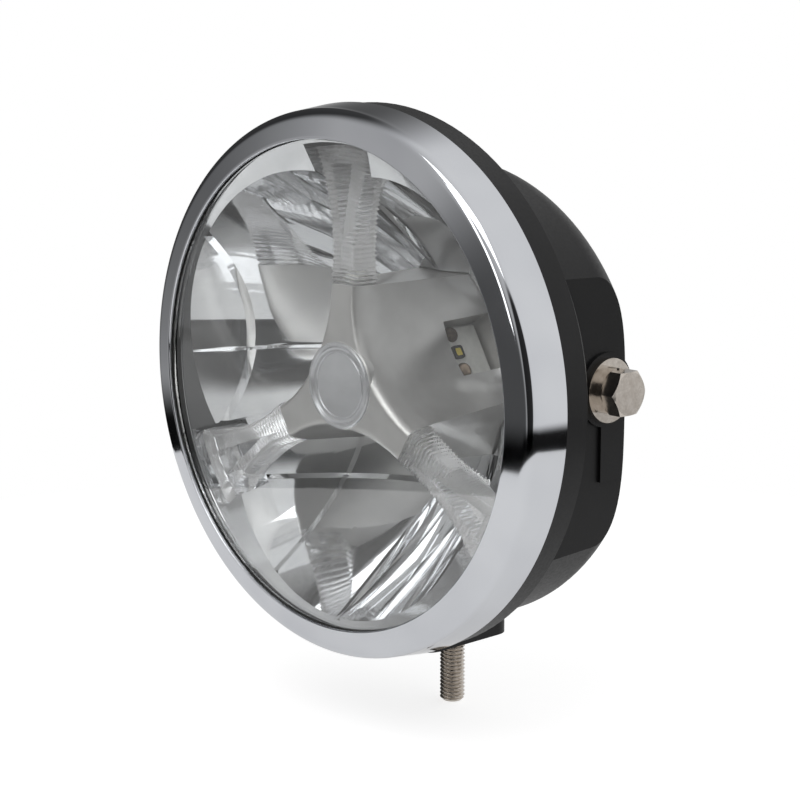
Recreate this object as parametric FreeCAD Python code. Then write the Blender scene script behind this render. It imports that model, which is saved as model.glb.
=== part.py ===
"""Round motorcycle spotlight: chrome bezel, clear lens, three-cup LED optic, black bucket.

Lengths are millimetres and angles degrees. Shapes are drawn about the lamp axis: X to the
viewer's right, Y back into the lamp from the plane of the bezel's front corner, Z up. At
export they move to the part's frame, whose origin is the seat of the bottom stud.
"""
import FreeCAD
import Part
import math
import os

Vector = FreeCAD.Vector
BACK = Vector(0, 1, 0)
UP = Vector(0, 0, 1)
RIGHT = Vector(1, 0, 0)
ORIGIN = Vector(0, 0, 0)
FACING = Vector(0, -1, 0)

# Points closer than this are one point
TOUCH = 1e-6

# Chrome bezel, a pressed ring
BEZEL_OPENING_R = 74.0
BEZEL_FACE_WIDTH = 9.0
BEZEL_LEAN = 1.2
BEZEL_LIP_RISE = 2.2
BEZEL_DEPTH = 13.0
BEZEL_SHEET = 1.0
BEZEL_BEND = 3.0
BEZEL_OVERHANG = 0.5

# Lens and its seal
LENS_THICK = 2.8
LENS_EDGE_DEPTH = 1.2
LENS_CROWN = 2.5
LENS_SKIRT = 3.0
LENS_DEPTH = 5.8
LENS_CLEARANCE = 3.0

# Bucket: rim flange, shoulder, drum set low under the shoulder, side flats
FLANGE_THICK = 9.0
SHOULDER_TAPER = 9.8
SHOULDER_DEPTH = 11.0
DRUM_STEP = 0.9
DRUM_TAPER = 0.8
DRUM_DROP = 6.8
DRUM_CORNER = 13.8
REAR_CROWN = 3.8
REAR_ROOM = 6.8
FLAT_CUT = 13.5
WALL = 2.5
SPIGOT_CLEARANCE = 0.3

# Reflector: three parabolic cups in one moulding
FOCAL_LENGTH = 15.4
REFLECTOR_WALL = 1.8
REFLECTOR_RIM = 2.5
REFLECTOR_FLANGE = 2.0
FACET_STEP = 1.6
FACET_LEVELS = 4
FACET_WIDTH = 30.0
FACET_HEIGHT = 39.5
FACET_BASE = 2.0
CUP_COUNT = 3
CUP_ANGLES = [30.0 + 360.0 / CUP_COUNT * k for k in range(CUP_COUNT)]
ARM_ANGLES = [90.0 + 360.0 / CUP_COUNT * k for k in range(CUP_COUNT)]

# LED tower: a three-armed column with an LED pocket in each flank
HUB_FACE_DEPTH = 5.9
HUB_R = 12.7
HUB_LIP = 1.6
ARM_FACE_DEPTH = 10.0
ARM_REACH = 31.2
ARM_CLIP_R = 36.0
FLANK_R = 26.3
FLANK_DRAFT = 5.9
FLANK_CENTRE = HUB_R + HUB_LIP + FLANK_R
TOWER_EDGE_R = 1.5
TOWER_CLEARANCE = 0.4
POCKET_DEPTH_START = 38.0
POCKET_LENGTH = 18.0
POCKET_WIDTH = 18.0
POCKET_FLOOR = 12.0

# Hub badge: a plain disc with a raised rim
BADGE_R = 12.6
BADGE_THICK = 1.0
BADGE_RIM = 1.4
BADGE_RIM_BEVEL = 0.3
BADGE_DISH = 0.4

# LED boards and emitters
BOARD_THICK = 1.6
BOARD_MARGIN = 1.0
LED_SIDE = 3.4
LED_HEIGHT = 0.8
LED_CHAMFER = 0.27
LED_SETBACK = 6.0
LED_DEPTH = POCKET_DEPTH_START + LED_SETBACK
FOCUS_R = POCKET_FLOOR + BOARD_THICK + LED_HEIGHT
BOARD_SCREW_R = 1.25
BOARD_SCREW_LENGTH = 5.0
BOARD_SCREW_SPREAD = 6.0

# Light guides: clear forked blades from the arms to the rim
GUIDE_THICK = 6.0
GUIDE_ROOT_HALF = 10.6
GUIDE_WAIST_HALF = 8.7
GUIDE_WAIST_REACH = 45.0
GUIDE_TIP_HALF = 19.5
GUIDE_END_GAP = 1.2
GUIDE_FORK_REACH = 44.0
GUIDE_BRIDGE = 6.0
GUIDE_LEG = 10.4
GUIDE_CLEARANCE = 0.3
GUIDE_LED_SIDE = 2.8
GUIDE_LED_HEIGHT = 0.8

# Driver board behind the top arm
DRIVER_WIDTH = 32.0
DRIVER_HEIGHT = 16.5
DRIVER_ARM_GAP = 4.3
DRIVER_CUP_LEAD = 3.9
DRIVER_POST_R = 3.0
DRIVER_POST_INSET = 3.6
DRIVER_SCREW_R = 1.5
DRIVER_SCREW_LENGTH = 6.0
INDUCTOR_R = 4.5
INDUCTOR_HOLE_R = 1.5
INDUCTOR_HEIGHT = 6.0
INDUCTOR_DROP = 2.2
CAPACITOR_R = 3.0
CAPACITOR_HEIGHT = 7.0
CAPACITOR_SPREAD = 10.0
CONNECTOR_WIDTH = 9.0
CONNECTOR_HEIGHT = 5.0
CONNECTOR_DEPTH = 5.5
CONNECTOR_WALL = 1.0

# Fasteners
BOLT_R = 4.0
BOLT_FLATS = 13.0
HEX_BEVEL_SHARE = 0.6
BOLT_HEAD = 5.3
BOLT_HOLE_CLEARANCE = 0.25
NUT_HEIGHT = 6.5
WASHER_R = 9.75
WASHER_THICK = 1.6
SPRING_WASHER_R = 7.0
SPRING_WASHER_THICK = 2.2
SPRING_SPLIT = 1.0
SPRING_SPLIT_ANGLE = 25.0
SIDE_BOLT_LEAD = 4.3
BOLT_HEAD_TURN = 30.0
SIDE_BOSS_R = 11.3
SIDE_BOSS_PROUD = 1.0
SIDE_WEB_WIDTH = 9.0
SIDE_WEB_LENGTH = 28.0
SIDE_WEB_OFFSET = 2.2
STUD_LEAD = 0.6
STUD_LENGTH = 23.6
STUD_CHAMFER = 1.0
STUD_NECK = 0.6
STUD_WASHER_R = 8.0
STUD_BOSS_PROUD = 6.2
STUD_BOSS_HALF_WIDTH = 15.0
STUD_BOSS_FRONT = 33.0
STUD_BOSS_REAR = 65.0
STUD_BOSS_CORNER = 6.0
STUD_PAD_R = 9.5
STUD_PAD_RISE = 10.0
TOWER_SCREW_R = 2.0
TOWER_SCREW_LENGTH = 14.0
TOWER_SCREW_CIRCLE = 18.0
TOWER_SCREW_SINK = 1.2
PAN_HEAD_RATIO = 2.0
PAN_HEAD_RISE = 1.2

# Cable grommet and breather on the back
GROMMET_DROP = 38.0
GROMMET_HOLE_R = 7.0
GROMMET_BORE_R = 3.6
GROMMET_LIP = 3.0
GROMMET_LIP_THICK = 2.4
GROMMET_LIP_ROUND = 1.5
GROMMET_BARB = 2.0
GROMMET_PAD_R = 12.5
BREATHER_LIFT = 36.0
BREATHER_R = 5.5
BREATHER_RISE = 3.0
BREATHER_SLOTS = 3
BREATHER_SLOT_WIDTH = 1.4
BREATHER_SLOT_HEIGHT = 0.8
BREATHER_SLOT_DEPTH = 1.6
BREATHER_SLOT_START = 1.0
BREATHER_STEM_R = 3.0
BREATHER_STEM_TAIL = 1.5
BREATHER_PAD_R = 7.0
PAD_RISE = 1.6

# Depths that follow from the sizes above
FLANGE_FRONT = BEZEL_DEPTH
FLANGE_BACK = FLANGE_FRONT + FLANGE_THICK
SHOULDER_BACK = FLANGE_BACK + SHOULDER_DEPTH
SKIRT_BACK = LENS_EDGE_DEPTH + LENS_DEPTH
SPIGOT_FRONT = SKIRT_BACK + REFLECTOR_FLANGE
GUIDE_BACK = ARM_FACE_DEPTH + GUIDE_THICK
CUP_BOTTOM = LED_DEPTH + FOCAL_LENGTH
DRUM_BACK = CUP_BOTTOM + REAR_ROOM
DRUM_STRAIGHT_END = DRUM_BACK - DRUM_CORNER
REAR_DEPTH = DRUM_BACK + REAR_CROWN
SIDE_BOLT_DEPTH = DRUM_STRAIGHT_END + SIDE_BOLT_LEAD
STUD_SETBACK = DRUM_STRAIGHT_END + STUD_LEAD
DRIVER_DEPTH = CUP_BOTTOM - DRIVER_CUP_LEAD
TOWER_BASE_DEPTH = CUP_BOTTOM + REFLECTOR_WALL + FACET_STEP / 2 + TOWER_CLEARANCE

# Radii that follow from the bezel's opening, from the front to the back
BEZEL_CORNER_R = BEZEL_OPENING_R + BEZEL_FACE_WIDTH
BEZEL_R = BEZEL_CORNER_R + BEZEL_LEAN
FLANGE_R = BEZEL_R - BEZEL_OVERHANG
SHOULDER_R = FLANGE_R - SHOULDER_TAPER
DRUM_R = SHOULDER_R - DRUM_STEP
DRUM_END_R = DRUM_R - DRUM_TAPER
FLAT_HALF_WIDTH = DRUM_R - FLAT_CUT
SPIGOT_R = BEZEL_CORNER_R - BEZEL_SHEET + SPIGOT_CLEARANCE
LENS_R = SPIGOT_R - LENS_CLEARANCE
REFLECTOR_R = LENS_R - LENS_SKIRT - BEZEL_SHEET
MIRROR_R = REFLECTOR_R - REFLECTOR_RIM
GUIDE_END_R = MIRROR_R - GUIDE_END_GAP
BEZEL_FACE_SLOPE = BEZEL_LIP_RISE / BEZEL_FACE_WIDTH

# Height of the lamp axis above the stud's seat, and places that follow from the tower and bolts
AXIS_HEIGHT = DRUM_R + DRUM_DROP + STUD_BOSS_PROUD
DRIVER_REACH = ARM_REACH + DRIVER_ARM_GAP
BOLT_HOLE_R = BOLT_R + BOLT_HOLE_CLEARANCE
STUD_NECK_R = BOLT_R + STUD_NECK
SIDE_SEAT = FLAT_HALF_WIDTH + SIDE_BOSS_PROUD
PAD_THICK = WALL + PAD_RISE


def parabola(start, pole, end):
    """A parabolic edge: its tangents at start and end meet at the pole."""
    curve = Part.BezierCurve()
    curve.setPoles([start, pole, end])
    return curve.toShape()


def wire_of(start, *steps):
    """A closed wire from point to point.

    A step is a point for a line, (through, end) for an arc, or [pole, end] for a parabola.
    """
    edges = []
    here = start
    for step in steps + (start,):
        if isinstance(step, tuple):
            through, end = step
            edges.append(Part.Arc(here, through, end).toShape())
            here = end
        elif isinstance(step, list):
            pole, end = step
            edges.append(parabola(here, pole, end))
            here = end
        elif (step - here).Length > TOUCH:
            edges.append(Part.makeLine(here, step))
            here = step
    return Part.Wire(edges)


def at(radius, depth):
    """A point of a turned profile, in the plane of X and Y."""
    return Vector(radius, depth, 0)


def turned(wire, drop=0.0):
    """A solid turned about an axis along Y, set below the lamp axis by drop."""
    solid = Part.Face(wire).revolve(ORIGIN, BACK, 360)
    solid.translate(Vector(0, 0, -drop))
    return solid


def facing(shape, angle):
    """A shape drawn towards +X, turned to an angle in the front view."""
    turned_shape = shape.copy()
    turned_shape.rotate(ORIGIN, FACING, angle)
    return turned_shape


def disc(radius, start, length, direction, hole=0.0):
    """A round bar or ring from a start point along a direction."""
    solid = Part.makeCylinder(radius, length, start, direction)
    if hole:
        solid = solid.cut(Part.makeCylinder(hole, length, start, direction))
    return solid


def hexagon(flats, start, length, direction, hole=0.0, turn=0.0):
    """A hexagon bar turned about its axis, its corners bevelled at both ends, with a hole through it."""
    corner_r = flats / math.sqrt(3)
    angles = [math.radians(60 * k + turn) for k in range(7)]
    base = Part.makePolygon([Vector(corner_r * math.cos(a), corner_r * math.sin(a), 0) for a in angles])
    bar = Part.Face(base).extrude(Vector(0, 0, length))
    bevel = (corner_r - flats / 2) * HEX_BEVEL_SHARE
    rim = wire_of(Vector(0, 0, 0), Vector(flats / 2, 0, 0), Vector(corner_r, 0, bevel),
                  Vector(corner_r, 0, length - bevel), Vector(flats / 2, 0, length),
                  Vector(0, 0, length))
    bar = bar.common(Part.Face(rim).revolve(ORIGIN, UP, 360))
    if hole:
        bar = bar.cut(Part.makeCylinder(hole, length))
    bar.Placement = FreeCAD.Placement(start, FreeCAD.Rotation(UP, direction))
    return bar


def pan_screw(shank_r, length, seat, direction):
    """A pan-head screw: seat under the head, shank along the direction."""
    head_r = shank_r * PAN_HEAD_RATIO
    head_h = shank_r * PAN_HEAD_RISE
    profile = wire_of(Vector(0, 0, -head_h),
                      [Vector(head_r, 0, -head_h), Vector(head_r, 0, 0)],
                      Vector(shank_r, 0, 0), Vector(shank_r, 0, length), Vector(0, 0, length))
    screw = Part.Face(profile).revolve(ORIGIN, UP, 360)
    screw.Placement = FreeCAD.Placement(seat, FreeCAD.Rotation(UP, direction))
    return screw


def mirrored(shape):
    """The same shape on the other side of the lamp."""
    return shape.mirror(ORIGIN, RIGHT)


def make_bezel():
    """A pressed ring: sloping face, rolled front corner, nearly straight wall, rear edge."""
    inner_corner = BEZEL_CORNER_R - BEZEL_SHEET
    face_end = BEZEL_CORNER_R - BEZEL_BEND
    face_end_depth = -BEZEL_FACE_SLOPE * BEZEL_BEND
    return turned(wire_of(
        at(BEZEL_OPENING_R, -BEZEL_LIP_RISE),
        at(face_end, face_end_depth),
        [at(BEZEL_CORNER_R, 0), at(BEZEL_CORNER_R, BEZEL_BEND)],
        at(BEZEL_R, BEZEL_DEPTH),
        at(BEZEL_R - BEZEL_SHEET, BEZEL_DEPTH),
        at(inner_corner, BEZEL_BEND),
        at(face_end, face_end_depth + BEZEL_SHEET),
        at(BEZEL_OPENING_R, -BEZEL_LIP_RISE + BEZEL_SHEET)))


def bezel_inside_depth(radius):
    """Depth of the back of the bezel's sloping face at a radius."""
    return BEZEL_FACE_SLOPE * (radius - BEZEL_OPENING_R) - BEZEL_LIP_RISE + BEZEL_SHEET


def make_lens_seal():
    """A rubber ring squeezed between the bezel's lip and the lens rim."""
    return turned(wire_of(
        at(BEZEL_OPENING_R, bezel_inside_depth(BEZEL_OPENING_R)),
        at(LENS_R, bezel_inside_depth(LENS_R)),
        at(LENS_R, LENS_EDGE_DEPTH),
        at(BEZEL_OPENING_R, LENS_EDGE_DEPTH)))


def make_lens():
    """A shallow dome with a flat rim and a skirt that stands on the reflector's flange."""
    apex = LENS_EDGE_DEPTH - LENS_CROWN
    half_r = BEZEL_OPENING_R / 2
    skirt_r = LENS_R - LENS_SKIRT
    back_depth = LENS_EDGE_DEPTH + LENS_THICK
    return turned(wire_of(
        at(0, apex),
        [at(half_r, apex), at(BEZEL_OPENING_R, LENS_EDGE_DEPTH)],
        at(LENS_R, LENS_EDGE_DEPTH), at(LENS_R, SKIRT_BACK), at(skirt_r, SKIRT_BACK),
        at(skirt_r, back_depth), at(BEZEL_OPENING_R, back_depth),
        [at(half_r, apex + LENS_THICK), at(0, apex + LENS_THICK)]))


def drum_body(inset, front):
    """The drum's bowl, moved in from its outside by inset, with its two side flats."""
    corner_r = DRUM_END_R - DRUM_CORNER
    corner = DRUM_CORNER - inset
    slant = math.sqrt(0.5)
    bowl = turned(wire_of(
        at(0, front), at(DRUM_R - inset, front), at(DRUM_END_R - inset, DRUM_STRAIGHT_END),
        (at(corner_r + corner * slant, DRUM_STRAIGHT_END + corner * slant),
         at(corner_r, DRUM_BACK - inset)),
        [at(corner_r / 2, REAR_DEPTH - inset), at(0, REAR_DEPTH - inset)]), DRUM_DROP)
    half = FLAT_HALF_WIDTH - inset
    slab = Part.makeBox(2 * half, REAR_DEPTH * 2, DRUM_R * 4,
                        Vector(-half, -REAR_DEPTH / 2, -DRUM_R * 2))
    return bowl.common(slab)


def rear_depth(x, z):
    """Depth of the crowned back's outside at a place in the front view."""
    corner_r = DRUM_END_R - DRUM_CORNER
    share = ((z + DRUM_DROP) ** 2 + x ** 2) / corner_r ** 2
    return DRUM_BACK + REAR_CROWN * (1 - share)


def stud_boss():
    """The long pad under the drum that the stud comes out of."""
    half = STUD_BOSS_HALF_WIDTH
    front = STUD_BOSS_FRONT - STUD_BOSS_CORNER
    pad = Part.makeBox(2 * half, STUD_BOSS_REAR - front, AXIS_HEIGHT - DRUM_R / 2,
                       Vector(-half, front, -AXIS_HEIGHT))
    uprights = [edge for edge in pad.Edges if edge.BoundBox.ZLength > STUD_BOSS_PROUD]
    return pad.makeFillet(STUD_BOSS_CORNER, uprights)


def side_boss():
    """A round boss for the right-hand bolt, with the narrow web that runs down from it."""
    inside = FLAT_HALF_WIDTH - WALL
    thick = SIDE_SEAT - inside
    boss = disc(SIDE_BOSS_R, Vector(inside, SIDE_BOLT_DEPTH, 0), thick, RIGHT)
    web_edge = SIDE_BOLT_DEPTH + SIDE_WEB_OFFSET - SIDE_WEB_WIDTH / 2
    web = Part.makeBox(thick, SIDE_WEB_WIDTH, SIDE_WEB_LENGTH, Vector(inside, web_edge, -SIDE_WEB_LENGTH))
    return boss.fuse(web)


def driver_posts():
    """Places of the driver board's two screws, at its upper corners."""
    x = DRIVER_WIDTH / 2 - DRIVER_POST_INSET
    z = DRIVER_REACH + DRIVER_HEIGHT - DRIVER_POST_INSET
    return [Vector(side * x, DRIVER_DEPTH, z) for side in (-1, 1)]


def tower_screw_seats():
    """Seats of the screws that hold the tower from behind, one behind each arm."""
    seats = []
    for angle in ARM_ANGLES:
        x = TOWER_SCREW_CIRCLE * math.cos(math.radians(angle))
        z = TOWER_SCREW_CIRCLE * math.sin(math.radians(angle))
        seats.append(Vector(x, rear_depth(x, z) - TOWER_SCREW_SINK, z))
    return seats


def grommet_face():
    """Depth of the flat pad round the cable hole."""
    return rear_depth(0, -GROMMET_DROP) + PAD_RISE


def breather_face():
    """Depth of the flat pad round the breather."""
    return rear_depth(0, BREATHER_LIFT) + PAD_RISE


def make_housing():
    """One moulded bucket: spigot, flange, shoulder, low-set drum, bosses, pads and holes."""
    rim = turned(wire_of(
        at(0, SPIGOT_FRONT), at(SPIGOT_R, SPIGOT_FRONT),
        at(SPIGOT_R, FLANGE_FRONT), at(FLANGE_R, FLANGE_FRONT), at(FLANGE_R, FLANGE_BACK),
        at(SHOULDER_R, SHOULDER_BACK), at(0, SHOULDER_BACK)))
    drum = drum_body(0, FLANGE_BACK)
    boss = side_boss()
    outside = rim.fuse([drum, stud_boss(), boss, mirrored(boss)])

    room_r = REFLECTOR_R + SPIGOT_CLEARANCE
    front_room = turned(wire_of(
        at(0, 0), at(room_r, 0), at(room_r, FLANGE_BACK - WALL),
        at(SHOULDER_R - WALL, SHOULDER_BACK - WALL), at(0, SHOULDER_BACK - WALL)))
    room = front_room.fuse(drum_body(WALL, FLANGE_BACK))
    shell = outside.cut(room)

    bowl = drum_body(WALL / 2, FLANGE_BACK)
    tower_pad = disc(ARM_REACH, Vector(0, TOWER_BASE_DEPTH, 0), REAR_DEPTH - TOWER_BASE_DEPTH, BACK)
    posts = [disc(DRIVER_POST_R, p + BACK * BOARD_THICK, REAR_DEPTH, BACK) for p in driver_posts()]
    stud_pad = disc(STUD_PAD_R, Vector(0, STUD_SETBACK, -AXIS_HEIGHT), STUD_PAD_RISE, UP)
    inner = [piece.common(bowl) for piece in [tower_pad] + posts] + [stud_pad]
    grommet_seat = Vector(0, grommet_face() - PAD_THICK, -GROMMET_DROP)
    breather_seat = Vector(0, breather_face() - PAD_THICK, BREATHER_LIFT)
    pads = [disc(GROMMET_PAD_R, grommet_seat, PAD_THICK, BACK),
            disc(BREATHER_PAD_R, breather_seat, PAD_THICK, BACK)]
    shell = shell.fuse(inner + pads)

    stud_seat = Vector(0, STUD_SETBACK, -AXIS_HEIGHT)
    holes = [disc(BOLT_HOLE_R, Vector(-FLANGE_R, SIDE_BOLT_DEPTH, 0), 2 * FLANGE_R, RIGHT),
             disc(STUD_NECK_R, stud_seat, STUD_PAD_RISE, UP),
             disc(STUD_PAD_R, stud_seat + UP * STUD_PAD_RISE, STUD_PAD_RISE, UP),
             disc(GROMMET_HOLE_R, grommet_seat, REAR_DEPTH, BACK),
             disc(GROMMET_PAD_R, grommet_seat, DRUM_CORNER, FACING),
             disc(BREATHER_STEM_R, breather_seat - BACK * BREATHER_STEM_TAIL, REAR_DEPTH, BACK)]
    for seat in tower_screw_seats():
        holes.append(disc(TOWER_SCREW_R, seat - BACK * TOWER_SCREW_LENGTH, TOWER_SCREW_LENGTH, BACK))
        holes.append(disc(TOWER_SCREW_R * PAN_HEAD_RATIO + SPIGOT_CLEARANCE, seat, REAR_CROWN, BACK))
    for post in driver_posts():
        holes.append(disc(DRIVER_SCREW_R, post, DRIVER_SCREW_LENGTH, BACK))
    return shell.cut(holes)


def cup(front, shift):
    """A parabolic bowl of air with its focus at the first LED, open towards the front."""
    bottom = CUP_BOTTOM + shift
    reach = math.sqrt(4 * FOCAL_LENGTH * (bottom - front))
    bowl = turned(wire_of(at(0, bottom), [at(reach / 2, bottom), at(reach, front)], at(0, front)))
    bowl.translate(Vector(FOCUS_R, 0, 0))
    return bowl


def facet_cells():
    """The front view's grid of facets: boxes by level, so that no two that touch share a level."""
    cells = {}
    columns = math.ceil(MIRROR_R / FACET_WIDTH)
    rows = math.ceil(MIRROR_R / FACET_HEIGHT) + 1
    for i in range(-columns, columns):
        for j in range(-rows, rows):
            box = Part.makeBox(FACET_WIDTH, REAR_DEPTH, FACET_HEIGHT,
                               Vector(i * FACET_WIDTH, 0, FACET_BASE + j * FACET_HEIGHT))
            column = i if i >= 0 else -i - 1
            cells.setdefault(column % 2 + 2 * (j % 2), []).append(box)
    return cells


def make_reflector(guide_room, tower_room):
    """The mirrored moulding: three stepped cups, a rim, a flange and lands for the guides."""
    front = SKIRT_BACK
    outer = disc(REFLECTOR_R, at(0, front), REAR_DEPTH, BACK)
    back_shift = REFLECTOR_WALL + FACET_STEP / 2
    backs = [facing(cup(front, back_shift), angle) for angle in CUP_ANGLES]
    rim_back = GUIDE_BACK + REFLECTOR_WALL
    rim = disc(REFLECTOR_R, at(0, front), rim_back - front, BACK, MIRROR_R)
    flange = disc(LENS_R, at(0, front), REFLECTOR_FLANGE, BACK, MIRROR_R)
    lands = [facing(guide_land(), angle) for angle in ARM_ANGLES]
    body = backs[0].fuse(backs[1:] + lands).common(outer).fuse([rim, flange])

    mirror_room = disc(MIRROR_R, at(0, 0), REAR_DEPTH, BACK)
    cups = []
    for level, boxes in facet_cells().items():
        air = cup(0, (level / FACET_LEVELS - 0.5) * FACET_STEP)
        grid = boxes[0].multiFuse(boxes[1:])
        union = facing(air, CUP_ANGLES[0]).fuse([facing(air, angle) for angle in CUP_ANGLES[1:]])
        cups.append(union.common(grid).common(mirror_room))
    return body.cut(cups + [guide_room, tower_room])


def guide_outline(grow):
    """The forked blade's outline towards +X: root, concave sides, flared tips on the rim."""
    root = ARM_REACH
    tip_x = math.sqrt((GUIDE_END_R + grow) ** 2 - (GUIDE_TIP_HALF + grow) ** 2)
    side = GUIDE_TIP_HALF + grow
    waist = GUIDE_WAIST_HALF + grow
    base = GUIDE_ROOT_HALF + grow
    return wire_of(
        Vector(root, 0, -base),
        (Vector(GUIDE_WAIST_REACH, 0, -waist), Vector(tip_x, 0, -side)),
        (Vector(GUIDE_END_R + grow, 0, 0), Vector(tip_x, 0, side)),
        (Vector(GUIDE_WAIST_REACH, 0, waist), Vector(root, 0, base)))


def guide_land():
    """The thin land under a guide's flared end, part of the reflector."""
    land = Part.Face(guide_outline(REFLECTOR_WALL)).extrude(BACK * REFLECTOR_WALL)
    land.translate(BACK * GUIDE_BACK)
    return land


def make_guide():
    """A clear forked blade towards +X, with a three-cornered window between its legs."""
    blade = Part.Face(guide_outline(0)).extrude(BACK * GUIDE_THICK)
    window_end = GUIDE_END_R - GUIDE_BRIDGE
    half = GUIDE_TIP_HALF - GUIDE_LEG
    window = wire_of(Vector(GUIDE_FORK_REACH, 0, 0),
                     Vector(window_end, 0, -half), Vector(window_end, 0, half))
    blade = blade.cut(Part.Face(window).extrude(BACK * GUIDE_THICK))
    blade.translate(BACK * ARM_FACE_DEPTH)
    return blade


def make_guide_room():
    """Room in the reflector for the three guides."""
    blade = Part.Face(guide_outline(GUIDE_CLEARANCE)).extrude(BACK * GUIDE_BACK)
    blades = [facing(blade, angle) for angle in ARM_ANGLES]
    return blades[0].fuse(blades[1:])


def tower_column(clearance):
    """The tower's star section with drafted hollow flanks, from hub to base."""
    slope = (ARM_FACE_DEPTH - HUB_FACE_DEPTH) / (ARM_REACH - HUB_R)
    clip = ARM_CLIP_R + clearance
    clip_depth = HUB_FACE_DEPTH + slope * (clip - HUB_R)
    column = turned(wire_of(at(0, HUB_FACE_DEPTH), at(HUB_R, HUB_FACE_DEPTH), at(clip, clip_depth),
                            at(clip, TOWER_BASE_DEPTH), at(0, TOWER_BASE_DEPTH)))
    reach = 2 * (ARM_REACH + clearance)
    corners = [Vector(reach * math.cos(math.radians(a)), 0, reach * math.sin(math.radians(a)))
               for a in CUP_ANGLES + CUP_ANGLES[:1]]
    prism = Part.Face(Part.makePolygon(corners)).extrude(BACK * REAR_DEPTH)
    column = column.common(prism)
    shrink = math.tan(math.radians(FLANK_DRAFT))
    front_r = FLANK_R + HUB_FACE_DEPTH * shrink - clearance
    back_r = front_r - REAR_DEPTH * shrink
    flank = Part.makeCone(front_r, back_r, REAR_DEPTH, Vector(FLANK_CENTRE, 0, 0), BACK)
    return column.cut([facing(flank, angle) for angle in CUP_ANGLES])


def board_screw_places():
    """Seats of a board's two screws, on the board that faces +X."""
    face = POCKET_FLOOR + BOARD_THICK
    return [Vector(face, LED_DEPTH, side * BOARD_SCREW_SPREAD) for side in (-1, 1)]


def reach_of(point):
    """A point's distance from the lamp axis."""
    return math.hypot(point.x, point.z)


def soft_edged(column):
    """The column with its front edges rounded along the three flanks, as far as the hub's lip allows."""
    edges = [edge for edge in column.Edges
             if edge.CenterOfMass.y < GUIDE_BACK
             and reach_of(edge.CenterOfMass) < ARM_REACH - HUB_LIP
             and max(reach_of(vertex.Point) for vertex in edge.Vertexes) > ARM_REACH]
    return column.makeFillet(min(TOWER_EDGE_R, HUB_LIP), edges)


def make_tower():
    """The satin column: badge seat, LED pockets, screw holes and guide LED recesses."""
    pocket = Part.makeBox(ARM_CLIP_R, POCKET_LENGTH, POCKET_WIDTH,
                          Vector(POCKET_FLOOR, POCKET_DEPTH_START, -POCKET_WIDTH / 2))
    board_holes = [disc(BOARD_SCREW_R, seat, BOARD_SCREW_LENGTH, RIGHT * -1)
                   for seat in board_screw_places()]
    cuts = [facing(piece, angle) for piece in [pocket] + board_holes for angle in CUP_ANGLES]
    cuts += [facing(make_guide_led(), angle) for angle in ARM_ANGLES]
    cuts += [disc(TOWER_SCREW_R, seat - BACK * TOWER_SCREW_LENGTH, TOWER_SCREW_LENGTH, BACK)
             for seat in tower_screw_seats()]
    return soft_edged(tower_column(0)).cut(cuts)


def make_badge():
    """A plain disc on the hub with a raised rim and a shallow dish."""
    front = HUB_FACE_DEPTH - BADGE_THICK
    rim_r = BADGE_R - BADGE_RIM
    return turned(wire_of(
        at(0, front + BADGE_DISH / 2),
        [at(rim_r / 2, front + BADGE_DISH / 2), at(rim_r, front + BADGE_DISH)],
        at(rim_r + BADGE_RIM_BEVEL, front), at(BADGE_R - BADGE_RIM_BEVEL, front),
        at(BADGE_R, front + BADGE_DISH), at(BADGE_R, HUB_FACE_DEPTH), at(0, HUB_FACE_DEPTH)))


def make_led_board():
    """The metal-core board on the floor of the pocket that faces +X."""
    width = POCKET_WIDTH - 2 * BOARD_MARGIN
    board = Part.makeBox(BOARD_THICK, POCKET_LENGTH - 2 * BOARD_MARGIN, width,
                         Vector(POCKET_FLOOR, POCKET_DEPTH_START + BOARD_MARGIN, -width / 2))
    return board.cut([disc(BOARD_SCREW_R, seat - RIGHT * BOARD_THICK, BOARD_THICK, RIGHT)
                      for seat in board_screw_places()])


def make_led():
    """The emitter on the board that faces +X: a square body with a bevel round its face."""
    face = POCKET_FLOOR + BOARD_THICK
    body = Part.makeBox(LED_HEIGHT, LED_SIDE, LED_SIDE,
                        Vector(face, LED_DEPTH - LED_SIDE / 2, -LED_SIDE / 2))
    edges = [edge for edge in body.Edges if edge.BoundBox.XMin > face + LED_HEIGHT - TOUCH]
    return body.makeChamfer(LED_CHAMFER, edges)


def make_guide_led():
    """The small emitter sunk in the end of the arm that points to +X, flush with it."""
    edge = ARM_FACE_DEPTH + GUIDE_THICK / 2 - GUIDE_LED_SIDE / 2
    return Part.makeBox(GUIDE_LED_HEIGHT, GUIDE_LED_SIDE, GUIDE_LED_SIDE,
                        Vector(ARM_REACH - GUIDE_LED_HEIGHT, edge, -GUIDE_LED_SIDE / 2))


def make_driver_board():
    """The converter's board, screwed to two posts inside the back."""
    board = Part.makeBox(DRIVER_WIDTH, BOARD_THICK, DRIVER_HEIGHT,
                         Vector(-DRIVER_WIDTH / 2, DRIVER_DEPTH, DRIVER_REACH))
    return board.cut([disc(DRIVER_SCREW_R, post, BOARD_THICK, BACK) for post in driver_posts()])


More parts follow.
